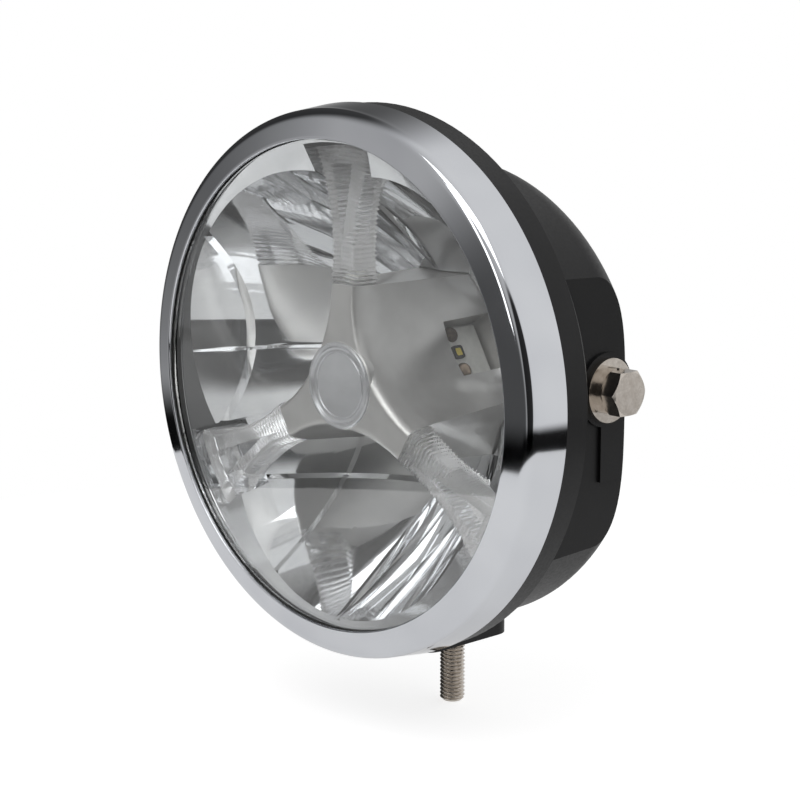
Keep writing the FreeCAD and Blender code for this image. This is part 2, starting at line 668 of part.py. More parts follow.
def make_driver_parts():
    """The converter's coil, its capacitors and its plug-in block, on the board's front."""
    middle = DRIVER_REACH + DRIVER_HEIGHT / 2
    face = DRIVER_DEPTH
    coil_seat = Vector(0, face, middle - INDUCTOR_DROP)
    coil = disc(INDUCTOR_R, coil_seat, INDUCTOR_HEIGHT, FACING, INDUCTOR_HOLE_R)
    low = DRIVER_REACH + CAPACITOR_R + BOARD_MARGIN
    cans = [disc(CAPACITOR_R, Vector(side * CAPACITOR_SPREAD, face, low), CAPACITOR_HEIGHT, FACING)
            for side in (-1, 1)]
    top = DRIVER_REACH + DRIVER_HEIGHT
    block = Part.makeBox(CONNECTOR_WIDTH, CONNECTOR_DEPTH, CONNECTOR_HEIGHT,
                         Vector(-CONNECTOR_WIDTH / 2, face - CONNECTOR_DEPTH, top - CONNECTOR_HEIGHT))
    mouth = Part.makeBox(CONNECTOR_WIDTH - 2 * CONNECTOR_WALL, CONNECTOR_DEPTH - CONNECTOR_WALL,
                         CONNECTOR_HEIGHT - 2 * CONNECTOR_WALL,
                         Vector(CONNECTOR_WALL - CONNECTOR_WIDTH / 2, face - CONNECTOR_DEPTH,
                                top - CONNECTOR_HEIGHT + CONNECTOR_WALL))
    return coil, Part.makeCompound(cans), block.cut(mouth)


def side_bolt_set():
    """The right-hand bolt, its spring washer, flat washer and inner nut, along +X."""
    centre = Vector(0, SIDE_BOLT_DEPTH, 0)
    washer = disc(WASHER_R, centre + RIGHT * SIDE_SEAT, WASHER_THICK, RIGHT, BOLT_HOLE_R)
    spring_seat = SIDE_SEAT + WASHER_THICK
    spring = disc(SPRING_WASHER_R, centre + RIGHT * spring_seat, SPRING_WASHER_THICK, RIGHT, BOLT_HOLE_R)
    spring_middle = spring_seat + SPRING_WASHER_THICK / 2
    split = Part.makeBox(2 * SPRING_WASHER_R, SPRING_SPLIT, 2 * SPRING_WASHER_R,
                         Vector(spring_middle - SPRING_WASHER_R, SIDE_BOLT_DEPTH - SPRING_SPLIT / 2, 0))
    split.rotate(centre + RIGHT * spring_middle, UP, SPRING_SPLIT_ANGLE)
    head_seat = spring_seat + SPRING_WASHER_THICK
    shank_end = FLAT_HALF_WIDTH - WALL - NUT_HEIGHT
    head = hexagon(BOLT_FLATS, centre + RIGHT * head_seat, BOLT_HEAD, RIGHT, 0, BOLT_HEAD_TURN)
    shank = disc(BOLT_R, centre + RIGHT * shank_end, head_seat - shank_end, RIGHT)
    nut = hexagon(BOLT_FLATS, centre + RIGHT * shank_end, NUT_HEIGHT, RIGHT, BOLT_R)
    return {"side_bolt": head.fuse(shank), "spring_washer": spring.cut(split),
            "flat_washer": washer, "inner_nut": nut}


def make_stud():
    """The bottom stud: a bolt put in from inside, its thick neck in the boss, and its washer."""
    boss_face = Vector(0, STUD_SETBACK, -AXIS_HEIGHT)
    pad_top = boss_face + UP * STUD_PAD_RISE
    washer = disc(STUD_WASHER_R, pad_top, WASHER_THICK, UP, STUD_NECK_R + BOLT_HOLE_CLEARANCE)
    head = hexagon(BOLT_FLATS, pad_top + UP * WASHER_THICK, BOLT_HEAD, UP)
    neck = disc(STUD_NECK_R, boss_face, STUD_PAD_RISE + WASHER_THICK, UP)
    tip = boss_face - UP * STUD_LENGTH
    shank = disc(BOLT_R, tip, STUD_LENGTH, UP)
    end_edges = [edge for edge in shank.Edges if edge.BoundBox.ZMax < tip.z + TOUCH]
    return head.fuse([neck, shank.makeChamfer(STUD_CHAMFER, end_edges)]), washer


def make_grommet():
    """A rubber grommet with a groove that holds the wall, and an open cable bore."""
    outer_face = grommet_face()
    inner_face = outer_face - PAD_THICK
    lip_r = GROMMET_HOLE_R + GROMMET_LIP
    back = outer_face + GROMMET_LIP_THICK
    front = inner_face - GROMMET_LIP_THICK
    return turned(wire_of(
        at(GROMMET_BORE_R, front), at(GROMMET_HOLE_R, front), at(GROMMET_HOLE_R + GROMMET_BARB, inner_face),
        at(GROMMET_HOLE_R, inner_face), at(GROMMET_HOLE_R, outer_face), at(lip_r, outer_face),
        at(lip_r, back - GROMMET_LIP_ROUND),
        [at(lip_r, back), at(lip_r - GROMMET_LIP_ROUND, back)],
        at(GROMMET_BORE_R, back)), GROMMET_DROP)


def make_breather():
    """A vent plug: a low round cap with side slots and a stem through the wall."""
    face = breather_face()
    centre = Vector(0, face, BREATHER_LIFT)
    tail = face - PAD_THICK - BREATHER_STEM_TAIL
    cap = disc(BREATHER_R, centre, BREATHER_RISE, BACK)
    stem = disc(BREATHER_STEM_R, Vector(0, tail, BREATHER_LIFT), face - tail, BACK)
    slot = Part.makeBox(2 * BREATHER_R, BREATHER_SLOT_HEIGHT, BREATHER_SLOT_WIDTH,
                        centre + Vector(-BREATHER_R, BREATHER_SLOT_START, -BREATHER_SLOT_WIDTH / 2))
    core = disc(BREATHER_R - BREATHER_SLOT_DEPTH, centre, BREATHER_RISE, BACK)
    slots = []
    for k in range(BREATHER_SLOTS):
        cut = slot.copy()
        cut.rotate(centre, BACK, 180 / BREATHER_SLOTS * k)
        slots.append(cut.cut(core))
    return cap.fuse(stem).cut(slots)


def make_all():
    """Every piece by name, in the lamp's own frame."""
    pieces = {"bezel": make_bezel(), "lens_seal": make_lens_seal(), "lens": make_lens()}
    pieces["housing"] = make_housing()
    pieces["reflector"] = make_reflector(make_guide_room(), tower_column(TOWER_CLEARANCE))
    pieces["led_tower"] = make_tower()
    pieces["hub_badge"] = make_badge()
    for name, angle in zip(("top", "left", "right"), ARM_ANGLES):
        pieces["light_guide_" + name] = facing(make_guide(), angle)
    for name, angle in zip(("right", "left", "bottom"), CUP_ANGLES):
        pieces["led_board_" + name] = facing(make_led_board(), angle)
        pieces["led_" + name] = facing(make_led(), angle)
    screws = [pan_screw(BOARD_SCREW_R, BOARD_SCREW_LENGTH, seat, RIGHT * -1)
              for seat in board_screw_places()]
    pieces["led_board_screws"] = Part.makeCompound([facing(s, a) for s in screws for a in CUP_ANGLES])
    pieces["guide_leds"] = Part.makeCompound([facing(make_guide_led(), a) for a in ARM_ANGLES])
    pieces["driver_board"] = make_driver_board()
    pieces["driver_coil"], pieces["driver_capacitors"], pieces["driver_connector"] = make_driver_parts()
    pieces["driver_screws"] = Part.makeCompound([pan_screw(DRIVER_SCREW_R, DRIVER_SCREW_LENGTH, post, BACK)
                                                 for post in driver_posts()])
    pieces["tower_screws"] = Part.makeCompound([pan_screw(TOWER_SCREW_R, TOWER_SCREW_LENGTH, seat, FACING)
                                                for seat in tower_screw_seats()])
    for name, shape in side_bolt_set().items():
        pieces[name + "_right"] = shape
        pieces[name + "_left"] = mirrored(shape)
    pieces["bottom_stud"], pieces["stud_washer"] = make_stud()
    pieces["cable_grommet"] = make_grommet()
    pieces["breather"] = make_breather()
    return pieces


def main():
    """Move every piece to the part's frame and write it to its own file."""
    os.makedirs("parts", exist_ok=True)
    for name, shape in make_all().items():
        shape.translate(Vector(0, -STUD_SETBACK, AXIS_HEIGHT))
        shape.exportStep("parts/" + name + ".step")


main()
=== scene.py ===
import math

import bmesh
import bpy
import numpy as np
from mathutils import Matrix, Vector


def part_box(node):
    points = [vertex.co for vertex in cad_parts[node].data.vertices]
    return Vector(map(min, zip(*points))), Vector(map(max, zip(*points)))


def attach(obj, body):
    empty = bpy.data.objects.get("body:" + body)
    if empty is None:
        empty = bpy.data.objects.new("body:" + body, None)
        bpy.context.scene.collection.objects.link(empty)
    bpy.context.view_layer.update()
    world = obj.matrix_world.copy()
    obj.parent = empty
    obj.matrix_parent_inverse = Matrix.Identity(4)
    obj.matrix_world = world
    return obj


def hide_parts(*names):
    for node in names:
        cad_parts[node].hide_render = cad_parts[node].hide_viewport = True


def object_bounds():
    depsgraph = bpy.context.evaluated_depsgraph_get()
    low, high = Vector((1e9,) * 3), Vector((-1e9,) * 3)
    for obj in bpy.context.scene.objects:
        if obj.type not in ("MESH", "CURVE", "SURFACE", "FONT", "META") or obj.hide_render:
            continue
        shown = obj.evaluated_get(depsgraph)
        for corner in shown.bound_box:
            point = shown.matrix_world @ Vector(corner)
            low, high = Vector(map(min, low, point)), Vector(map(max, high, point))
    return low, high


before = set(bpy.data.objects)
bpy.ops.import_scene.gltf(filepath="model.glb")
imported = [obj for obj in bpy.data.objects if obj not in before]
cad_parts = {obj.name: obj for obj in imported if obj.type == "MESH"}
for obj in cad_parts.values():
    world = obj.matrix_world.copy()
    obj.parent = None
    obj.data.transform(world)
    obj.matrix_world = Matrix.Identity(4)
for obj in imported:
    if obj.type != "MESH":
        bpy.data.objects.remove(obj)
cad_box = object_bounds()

# Lengths are millimetres about the lamp's own axis: x to the viewer's right, y back into the lamp from
# the bezel's front corner, z up. AXIS_PLACE moves them to the frame, whose origin is the stud's seat.
MM = 0.001
bezel_low, bezel_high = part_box("bezel")
lens_low, lens_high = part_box("lens")
stud_low, stud_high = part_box("bottom_stud")
badge_low, badge_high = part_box("hub_badge")
guide_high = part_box("light_guide_top")[1]
tower_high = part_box("led_tower")[1]

BEZEL_DEPTH = 13.0
AXIS_PLACE = np.array([0.0, bezel_high.y / MM - BEZEL_DEPTH, (bezel_low.z + bezel_high.z) / 2 / MM])

# Bezel and lens
BEZEL_R = (bezel_high.x - bezel_low.x) / 2 / MM
BEZEL_LEAN = 1.2
BEZEL_CORNER_R = BEZEL_R - BEZEL_LEAN
BEZEL_OPENING_R = 74.0
BEZEL_LIP_RISE = 2.2
BEZEL_SHEET = 1.0
BEZEL_BEND = 3.0
LENS_R = (lens_high.x - lens_low.x) / 2 / MM
LENS_FRONT = lens_low.y / MM - AXIS_PLACE[1]
LENS_BACK = lens_high.y / MM - AXIS_PLACE[1]
LENS_EDGE = 1.2
LENS_STEP = 1.6
LENS_STEP_GAP = 0.3
LENS_THICK = 2.8
LENS_SKIRT = 3.0

# Mirror: three cups about axes at FOCUS_R, stepped in a grid of facets
CUP_ANGLES = (30.0, 150.0, 270.0)
CUP_HALF_TURN = math.radians(60)
FOCAL_LENGTH = 15.4
FOCUS_R = 14.4
CUP_BOTTOM = 59.4
MIRROR_FRONT = LENS_BACK
MIRROR_R = 75.3
MIRROR_WALL = 2.6
FACET_WIDTH = 30.0
FACET_HEIGHT = 39.5
FACET_BASE = 2.0
FACET_STEP = 1.6
FACET_LEVELS = 4
FACET_TOP_ROW = 0
FACET_ROWS = range(-2, FACET_TOP_ROW + 1)
FACET_COLUMNS = range(-3, 3)
FACET_GRID = 1.0
FACET_LEAST = 0.05
STRIP_HALF = 0.7
STRIP_POINTS = 500
SEAT_TURN = math.radians(11)
SEAT_END_GAP = 2.5
SEAT_END_R = MIRROR_R - SEAT_END_GAP
SEAT_COLUMNS = 12
SEAT_ROWS = 4
RIM_SIDE_GAP = 0.3
RIM_LENS_GAP = 0.6
RIM_R = LENS_R - LENS_SKIRT - RIM_SIDE_GAP
RIM_DEPTH = LENS_EDGE - LENS_STEP + LENS_THICK + RIM_LENS_GAP
RIM_SLOPE = 0.4
RIM_COLUMNS = 100
RIM_ROWS = 5
RIM_STEP = 0.05
FLANGE_GAP = 0.2

# Tower: a hub and three slim arms between hollow flanks, with soft front edges and a pocket in each flank
HUB_FACE_DEPTH = 5.9
HUB_R = 13.7
ARM_FACE_DEPTH = 6.8
ARM_REACH = 30.4
FLANK_R = 44.7
FLANK_CENTRE = 59.0
FLANK_DRAFT = math.tan(math.radians(5.9))
TOWER_EDGE_WIDTH = 2.4
TOWER_EDGE_DEPTH = 9.0
TOWER_BACK = tower_high.y / MM - AXIS_PLACE[1]
TOWER_GAP = 0.4
TOWER_FACE_ROWS = 8
TOWER_EDGE_ROWS = 10
TOWER_FLANK_ROWS = 8
TOWER_SIDE_COLUMNS = 9
TOWER_END_COLUMNS = 7
BOSS_RISE = 0.1
BOSS_ROUND = 0.9
BOSS_FLARE = 0.7
BOSS_SUNK = 8.0
POCKET_START = 38.0
POCKET_END = 56.0
POCKET_HALF = 9.0
POCKET_FLOOR = 12.0
POCKET_ROWS = 5
POCKET_COLUMNS = 9
LED_DEPTH = 44.0
LED_TOP = 14.4
LED_FRAME_INNER = 1.25
LED_FRAME_OUTER = 2.1
LED_FRAME_RISE = 0.15
LED_FRAME_FALL = 0.1
LED_FRAME_SUNK = 0.8

# Light guides
ARM_ANGLES = (90.0, 210.0, 330.0)
GUIDE_FRONT = 6.9
GUIDE_BACK = guide_high.y / MM - AXIS_PLACE[1]
GUIDE_END_R = guide_high.z / MM - AXIS_PLACE[2]
GUIDE_TIP_HALF = 13.0
GUIDE_ROOT_HALF = 6.6
GUIDE_WAIST_HALF = 5.8
GUIDE_WAIST_REACH = 42.0
GUIDE_FORK_REACH = 44.0
GUIDE_BRIDGE = 5.0
GUIDE_WINDOW_HALF = 4.2
GUIDE_EDGE_WIDTH = 1.8
GUIDE_EDGE_DEPTH = 2.5
GUIDE_COLUMNS = 16
FLUTE_PITCH = 1.4
FLUTE_DEPTH = 0.56
FLUTE_ROWS = 8

# Badge, with its rim, groove, ring and field measured inwards from the edge, and stud
BADGE_EXTRA_R = 0.5
BADGE_BEVEL = 0.5
BADGE_RIM_TOP = 0.9
BADGE_RIM_CORNER = 1.3
BADGE_RIM_WIDTH = 1.5
BADGE_RIM_FOOT = 0.1
BADGE_GROOVE = 1.7
BADGE_GROOVE_DEPTH = 0.05
BADGE_RING = 3.1
BADGE_RING_HALF = 0.3
BADGE_RING_SUNK = 0.05
BADGE_FIELD = 3.6
BADGE_FIELD_DEPTH = 0.8
BADGE_FIELD_CROWN = 0.15
THREAD_PITCH = 1.25
THREAD_R = 4.0
THREAD_DEPTH = 0.68
THREAD_STEEPNESS = 1.25
THREAD_CREST = 0.1
THREAD_ROWS = 14
STUD_CHAMFER = 1.0
STUD_NECK_R = 4.6
STUD_FLATS = 13.0
STUD_HEAD = 5.3

# Stage, in millimetres of the frame
FLOOR_GAP = 0.5
FLOOR_R = 340.0
FLOOR_MIDDLE_Y = -20.0
FLOOR_CORNERS = 96
FLOOR_GLOW = 0.78
FLOOR_GLOW_GLOSS = 0.5
LAMP_MIDDLE = (0.0, -30.0, 85.0)

# Studio that the lamp sees: fields that multiply its light. A field has a direction in degrees, the cosines
# of the angle from it at the field's edge and core, and the shares of light outside it and at its core
STUDIO_FIELDS = {
    "bright_right": (40, 30, -0.6, 0.9, 0.5, 0.88),
    "dark_left": (172, 28, 0.62, 0.90, 1.0, 0.08),
    "dark_front": (-44, 0, 0.82, 0.90, 1.0, 0.04),
    "dark_low": (-104, -11, 0.86, 0.97, 1.0, 0.18),
    "above_horizon": (0, 90, -0.25, -0.19, 0.01, 1.0),
}

# Camera, from a fit to the photograph: its place about the lamp's axis, and its directions right and back
CAMERA_PLACE = np.array([510.3, -461.5, 131.0])
CAMERA_RIGHT = np.array([0.6934, 0.7206, 0.0])
CAMERA_BACK = np.array([0.7071, -0.6804, 0.1925])
CAMERA_LENS = 105.3
CAMERA_SENSOR = 36.0

# Rounds until two surfaces meet, and what counts as nothing: a share, an area, a length, a turn
TOWER_ROUNDS = 6
RIM_ROUNDS = 10
NO_SHARE = 1e-12
NO_AREA = 1e-9
NO_LENGTH = 1e-6
NO_TURN = 1e-4
WELD_DISTANCE = 1e-7
FLAT_DISTANCE = 1e-8

WHITE = (1.0, 1.0, 1.0, 1.0)
NOISE_LOW = 0.3
NOISE_HIGH = 0.7


def to_linear(code):
    """An sRGB hex code as linear red, green, blue and alpha."""
    shares = np.array([int(code[k:k + 2], 16) for k in (1, 3, 5)]) / 255
    linear = np.where(shares <= 0.04045, shares / 12.92, ((shares + 0.055) / 1.055) ** 2.4)
    return (*linear, 1.0)


def add_node(tree, kind, sockets=None, **settings):
    """A node of a kind with its settings; each socket takes a plain value or a link from another node."""
    made = tree.nodes.new(kind)
    for name, value in settings.items():
        setattr(made, name, value)
    for name, value in (sockets or {}).items():
        if isinstance(value, bpy.types.NodeSocket):
            tree.links.new(value, made.inputs[name])
        else:
            made.inputs[name].default_value = value
    return made


def start_material(name, **sockets):
    """A material with one Principled shader, its plain values set on the shader's own sockets."""
    material = bpy.data.materials.new(name)
    material.use_nodes = True
    tree = material.node_tree
    shader = tree.nodes["Principled BSDF"]
    for socket, value in sockets.items():
        shader.inputs[socket.replace("_", " ")].default_value = value
    place = add_node(tree, "ShaderNodeTexCoord").outputs["Object"]
    return material, tree, shader, place


def grain(tree, place, size_mm, detail=2.0):
    """Noise whose blobs are about size_mm wide.

    Real grain of moulds, plating and solder mask is finer than 0.3 mm: it is drawn coarser, so that it shows.
    """
    sockets = {"Vector": place, "Scale": 1 / (size_mm * MM), "Detail": detail}
    return add_node(tree, "ShaderNodeTexNoise", sockets).outputs["Fac"]


def rough_and_bump(tree, shader, value, low, high, height_mm):
    """Lets one noise drive the roughness between two values and a bump of a real height."""
    range_sockets = {"From Min": NOISE_LOW, "From Max": NOISE_HIGH, "To Min": low, "To Max": high}
    roughness = add_node(tree, "ShaderNodeMapRange", {"Value": value, **range_sockets})
    tree.links.new(roughness.outputs["Result"], shader.inputs["Roughness"])
    bump = add_node(tree, "ShaderNodeBump", {"Height": value, "Strength": 1.0, "Distance": height_mm * MM})
    tree.links.new(bump.outputs["Normal"], shader.inputs["Normal"])


def tint(tree, shader, value, dark, light):
    """Lets one noise drift the base colour between two hex codes."""
    ramp = add_node(tree, "ShaderNodeValToRGB", {"Fac": value})
    ramp.color_ramp.elements[0].position = NOISE_LOW
    ramp.color_ramp.elements[1].position = NOISE_HIGH
    ramp.color_ramp.elements[0].color = to_linear(dark)
    ramp.color_ramp.elements[1].color = to_linear(light)
    tree.links.new(ramp.outputs["Color"], shader.inputs["Base Color"])


def lets_lamps_through(tree, shader):
    """Clear moulding that lamps shine through: shadow rays pass, everything else meets the glass."""
    output = tree.nodes["Material Output"]
    path = add_node(tree, "ShaderNodeLightPath")
    pass_through = add_node(tree, "ShaderNodeBsdfTransparent")
    mix = add_node(tree, "ShaderNodeMixShader", {0: path.outputs["Is Shadow Ray"], 1: shader.outputs["BSDF"],
                                                 2: pass_through.outputs["BSDF"]})
    tree.links.new(mix.outputs["Shader"], output.inputs["Surface"])


def chrome_plate():
    """Chrome on pressed steel: a cool mirror with a faint polishing haze and a slow waviness."""
    material, tree, shader, place = start_material("chrome_plate", Metallic=1.0, Roughness=0.06)
    wave = grain(tree, place, 22.0, 1.0)
    tint(tree, shader, wave, "#c9cbd0", "#d3d5d9")
    rough_and_bump(tree, shader, wave, 0.04, 0.08, 0.02)
    return material


def clear_polycarbonate():
    """Moulded polycarbonate, polished: clear with a bright edge and the slightest flow waviness."""
    material, tree, shader, place = start_material("clear_polycarbonate", Transmission_Weight=1.0, IOR=1.585,
                                                   Roughness=0.0, Base_Color=to_linear("#fbfcfc"))
    rough_and_bump(tree, shader, grain(tree, place, 30.0, 1.0), 0.0, 0.02, 0.008)
    lets_lamps_through(tree, shader)
    return material


def clear_acrylic():
    """Moulded acrylic light guide: clear, its flutes sparkle and its faces wave slightly."""
    material, tree, shader, place = start_material("clear_acrylic", Transmission_Weight=0.86, IOR=1.49,
                                                   Roughness=0.01, Base_Color=to_linear("#fcfcfc"))
    rough_and_bump(tree, shader, grain(tree, place, 5.0), 0.0, 0.015, 0.01)
    lets_lamps_through(tree, shader)
    return material


def aluminised_mirror():
    """Vacuum aluminium on a moulding: a bright mirror with a little haze and moulding waviness."""
    material, tree, shader, place = start_material("aluminised_mirror", Metallic=1.0, Roughness=0.03)
    wave = grain(tree, place, 9.0, 1.0)
    tint(tree, shader, wave, "#dfe0e2", "#e8e9ea")
    rough_and_bump(tree, shader, wave, 0.02, 0.06, 0.01)
    return material


def satin_metallised():
    """Metallised moulding with a fine spark-eroded texture: soft grey, broad highlights."""
    material, tree, shader, place = start_material("satin_metallised", Metallic=0.8, Roughness=0.34)
    tint(tree, shader, grain(tree, place, 6.0), "#c5c4c2", "#cdccca")
    rough_and_bump(tree, shader, grain(tree, place, 0.35), 0.32, 0.40, 0.012)
    return material


def badge_aluminium():
    """Pressed aluminium disc, lightly lacquered: a shade brighter than its hub, with a slow waviness."""
    material, tree, shader, place = start_material("badge_aluminium", Metallic=0.7, Roughness=0.2)
    tint(tree, shader, grain(tree, place, 4.0), "#c9cacc", "#d2d3d5")
    rough_and_bump(tree, shader, grain(tree, place, 9.0, 1.0), 0.17, 0.23, 0.012)
    return material


def black_stove_paint():
    """Satin black stoving paint on the bucket: deep black, soft wide reflections, faint orange peel."""
    material, tree, shader, place = start_material("black_stove_paint", Roughness=0.4,
                                                   Specular_IOR_Level=0.22)
    tint(tree, shader, grain(tree, place, 14.0), "#161617", "#1b1b1c")
    rough_and_bump(tree, shader, grain(tree, place, 0.9), 0.36, 0.46, 0.008)
    return material


def seal_rubber():
    """Moulded black rubber: dull, slightly dusty, finely grained."""
    material, tree, shader, place = start_material("seal_rubber", Roughness=0.7)
    tint(tree, shader, grain(tree, place, 3.0), "#131313", "#1c1c1c")
    rough_and_bump(tree, shader, grain(tree, place, 0.5), 0.6, 0.8, 0.03)
    return material


def white_solder_mask():
    """Aluminium board under white solder mask: matt white with a faint grain."""
    material, tree, shader, place = start_material("white_solder_mask", Roughness=0.5)
    tint(tree, shader, grain(tree, place, 1.5), "#d3d3ce", "#deded9")
    rough_and_bump(tree, shader, grain(tree, place, 0.6), 0.42, 0.55, 0.01)
    return material


def green_solder_mask():
    """Glass-epoxy board under green solder mask, mottled by the copper below."""
    material, tree, shader, place = start_material("green_solder_mask", Roughness=0.4)
    tint(tree, shader, grain(tree, place, 3.0), "#1f4a2c", "#2f6a41")
    rough_and_bump(tree, shader, grain(tree, place, 0.8), 0.35, 0.5, 0.02)
    return material


def led_phosphor():
    """Silicone over yellow phosphor: soft matt yellow, a little mottled."""
    material, tree, shader, place = start_material("led_phosphor", Roughness=0.45)
    tint(tree, shader, grain(tree, place, 0.4), "#d8bf3a", "#ecd95c")
    rough_and_bump(tree, shader, grain(tree, place, 0.3), 0.4, 0.5, 0.005)
    return material


def led_silicone():
    """Clear silicone dome over a small white emitter: pale, soft and slightly cloudy."""
    material, tree, shader, place = start_material("led_silicone", Roughness=0.3)
    tint(tree, shader, grain(tree, place, 0.5), "#d2d2cc", "#dfdfda")
    rough_and_bump(tree, shader, grain(tree, place, 0.3), 0.25, 0.35, 0.004)
    return material


def black_moulding():
    """Black moulded epoxy and nylon of the electronics: matt, with a fine mould grain."""
    material, tree, shader, place = start_material("black_moulding", Roughness=0.5)
    tint(tree, shader, grain(tree, place, 2.0), "#19191a", "#232324")
    rough_and_bump(tree, shader, grain(tree, place, 0.5), 0.45, 0.6, 0.015)
    return material


def stainless_steel():
    """Cold-formed stainless fasteners: warm grey, half bright, finely mottled."""
    material, tree, shader, place = start_material("stainless_steel", Metallic=1.0, Roughness=0.18)
    tint(tree, shader, grain(tree, place, 2.5), "#bcb4ab", "#cbc4bc")
    rough_and_bump(tree, shader, grain(tree, place, 0.8, 3.0), 0.14, 0.24, 0.003)
    return material


def dark_zinc():
    """Dark passivated zinc on the small screws: brownish, dull metal."""
    material, tree, shader, place = start_material("dark_zinc", Metallic=1.0, Roughness=0.4)
    tint(tree, shader, grain(tree, place, 0.8), "#5d5147", "#7a6c5c")
    rough_and_bump(tree, shader, grain(tree, place, 0.4), 0.35, 0.5, 0.01)
    return material


def grid_faces(rows, columns, wrap=False):
    """Four-cornered faces of a grid stored row by row; wrap joins the last column to the first."""
    row = np.arange(rows - 1)[:, None] * columns
    column = np.arange(columns if wrap else columns - 1)[None, :]
    after = (column + 1) % columns
    corners = [row + column, row + after, row + columns + after, row + columns + column]
    return np.stack(corners, -1).reshape(-1, 4)


def join(patches):
    """Several (points, faces) patches as one, without the points that no face uses."""
    starts = np.cumsum([0] + [len(points) for points, _ in patches[:-1]])
    points = np.concatenate([points for points, _ in patches])
    faces = np.concatenate([faces + start for (_, faces), start in zip(patches, starts)])
    used, faces = np.unique(faces, return_inverse=True)
    return points[used], faces.reshape(-1, 4)


def add_piece(name, points, faces, material, node, slot, sharp_degrees=35.0, recalculate=True):
    """Puts points and faces into a mesh, welds its seams and poles, and hangs it on the frame."""
    mesh = bpy.data.meshes.new(name)
    mesh.from_pydata((points + AXIS_PLACE) * MM, [], faces.tolist())
    work = bmesh.new()
    work.from_mesh(mesh)
    bmesh.ops.remove_doubles(work, verts=work.verts, dist=WELD_DISTANCE)
    bmesh.ops.dissolve_degenerate(work, edges=work.edges, dist=FLAT_DISTANCE)
    if recalculate:
        bmesh.ops.recalc_face_normals(work, faces=work.faces)
    work.to_mesh(mesh)
    work.free()
    mesh.polygons.foreach_set("use_smooth", np.ones(len(mesh.polygons), bool))
    mesh.set_sharp_from_angle(angle=math.radians(sharp_degrees))
    mesh.materials.append(material)
    piece = bpy.data.objects.new(name, mesh)
    bpy.context.scene.collection.objects.link(piece)
    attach(piece, "root")
    if node:
        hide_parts(node)


def turned(profile, segments=240):
    """A profile of (radius, depth) points carried once round the axis; its ends are on the axis or meet."""
    angle = np.linspace(0, 2 * np.pi, segments, endpoint=False)
    radius, depth = np.asarray(profile, float).T
    points = np.stack([radius[:, None] * np.cos(angle), depth[:, None] + 0 * angle,
                       radius[:, None] * np.sin(angle)], -1)
    return points.reshape(-1, 3), grid_faces(len(radius), segments, wrap=True)


def rounded(start, corner, end, count=10):
    """Points of the parabola that leaves start and reaches end, with its tangents meeting at the corner."""
    share = np.linspace(0, 1, count)[:, None]
    start, corner, end = (np.asarray(point, float) for point in (start, corner, end))
    return (1 - share) ** 2 * start + 2 * share * (1 - share) * corner + share ** 2 * end


def make_bezel(material):
    """The pressed ring: rolled lip, sloping face, rounded front corner and nearly straight wall, turned."""
    slope = BEZEL_LIP_RISE / (BEZEL_CORNER_R - BEZEL_OPENING_R)
    lip = (BEZEL_OPENING_R, -BEZEL_LIP_RISE)
    roll = BEZEL_SHEET / 2
    bend = BEZEL_BEND
    face_end = (BEZEL_CORNER_R - bend, -slope * bend)
    wall_start = (BEZEL_CORNER_R, bend)
    inner = BEZEL_CORNER_R - BEZEL_SHEET
    profile = np.concatenate([
        rounded((lip[0], lip[1] + BEZEL_SHEET), lip, (lip[0] + roll, lip[1] + slope * roll), count=8),
        np.linspace((lip[0] + roll, lip[1] + slope * roll), face_end, 10)[1:],
        rounded(face_end, (BEZEL_CORNER_R, 0.0), wall_start, count=24)[1:],
        np.linspace(wall_start, (BEZEL_R, BEZEL_DEPTH), 8)[1:],
        [(BEZEL_R - BEZEL_SHEET, BEZEL_DEPTH), (inner, bend),
         (face_end[0], face_end[1] + BEZEL_SHEET), (lip[0], lip[1] + BEZEL_SHEET)]])
    add_piece("bezel_ring", *turned(profile, segments=320), material, "bezel", "chrome")


def make_lens(material):
    """The lens: two shallow parabolic domes a wall apart, a step down to a flat rim, and a skirt, turned."""
    reach = np.linspace(0, 1, 40)[:, None]
    skirt = LENS_R - LENS_SKIRT
    edge = LENS_EDGE - LENS_STEP
    fall = LENS_FRONT + (edge - LENS_FRONT) * reach ** 2
    step = BEZEL_OPENING_R - LENS_STEP_GAP
    dome = np.hstack([reach * step, fall])
    rim = [(step, LENS_EDGE), (LENS_R, LENS_EDGE), (LENS_R, LENS_BACK),
           (skirt, LENS_BACK), (skirt, edge + LENS_THICK)]
    profile = np.concatenate([dome, rim, dome[::-1] + (0, LENS_THICK)])
    add_piece("lens_dome", *turned(profile), material, "lens", "clear_lens")


def cup_depth(x, z, cup, shift):
    """Depth of a cup: its bottom less the squared distance from its axis over four focal lengths."""
    fx, fz = FOCUS_R * np.cos(cup), FOCUS_R * np.sin(cup)
    return CUP_BOTTOM + shift - ((x - fx) ** 2 + (z - fz) ** 2) / (4 * FOCAL_LENGTH)


def cup_radius(angle, cup, depth, shift):
    """How far from the lamp axis a cup has come forward to a depth, by the law of cosines."""
    reach = 4 * FOCAL_LENGTH * (CUP_BOTTOM + shift - depth)
    turn = angle - cup
    return FOCUS_R * np.cos(turn) + np.sqrt(reach - (FOCUS_R * np.sin(turn)) ** 2)


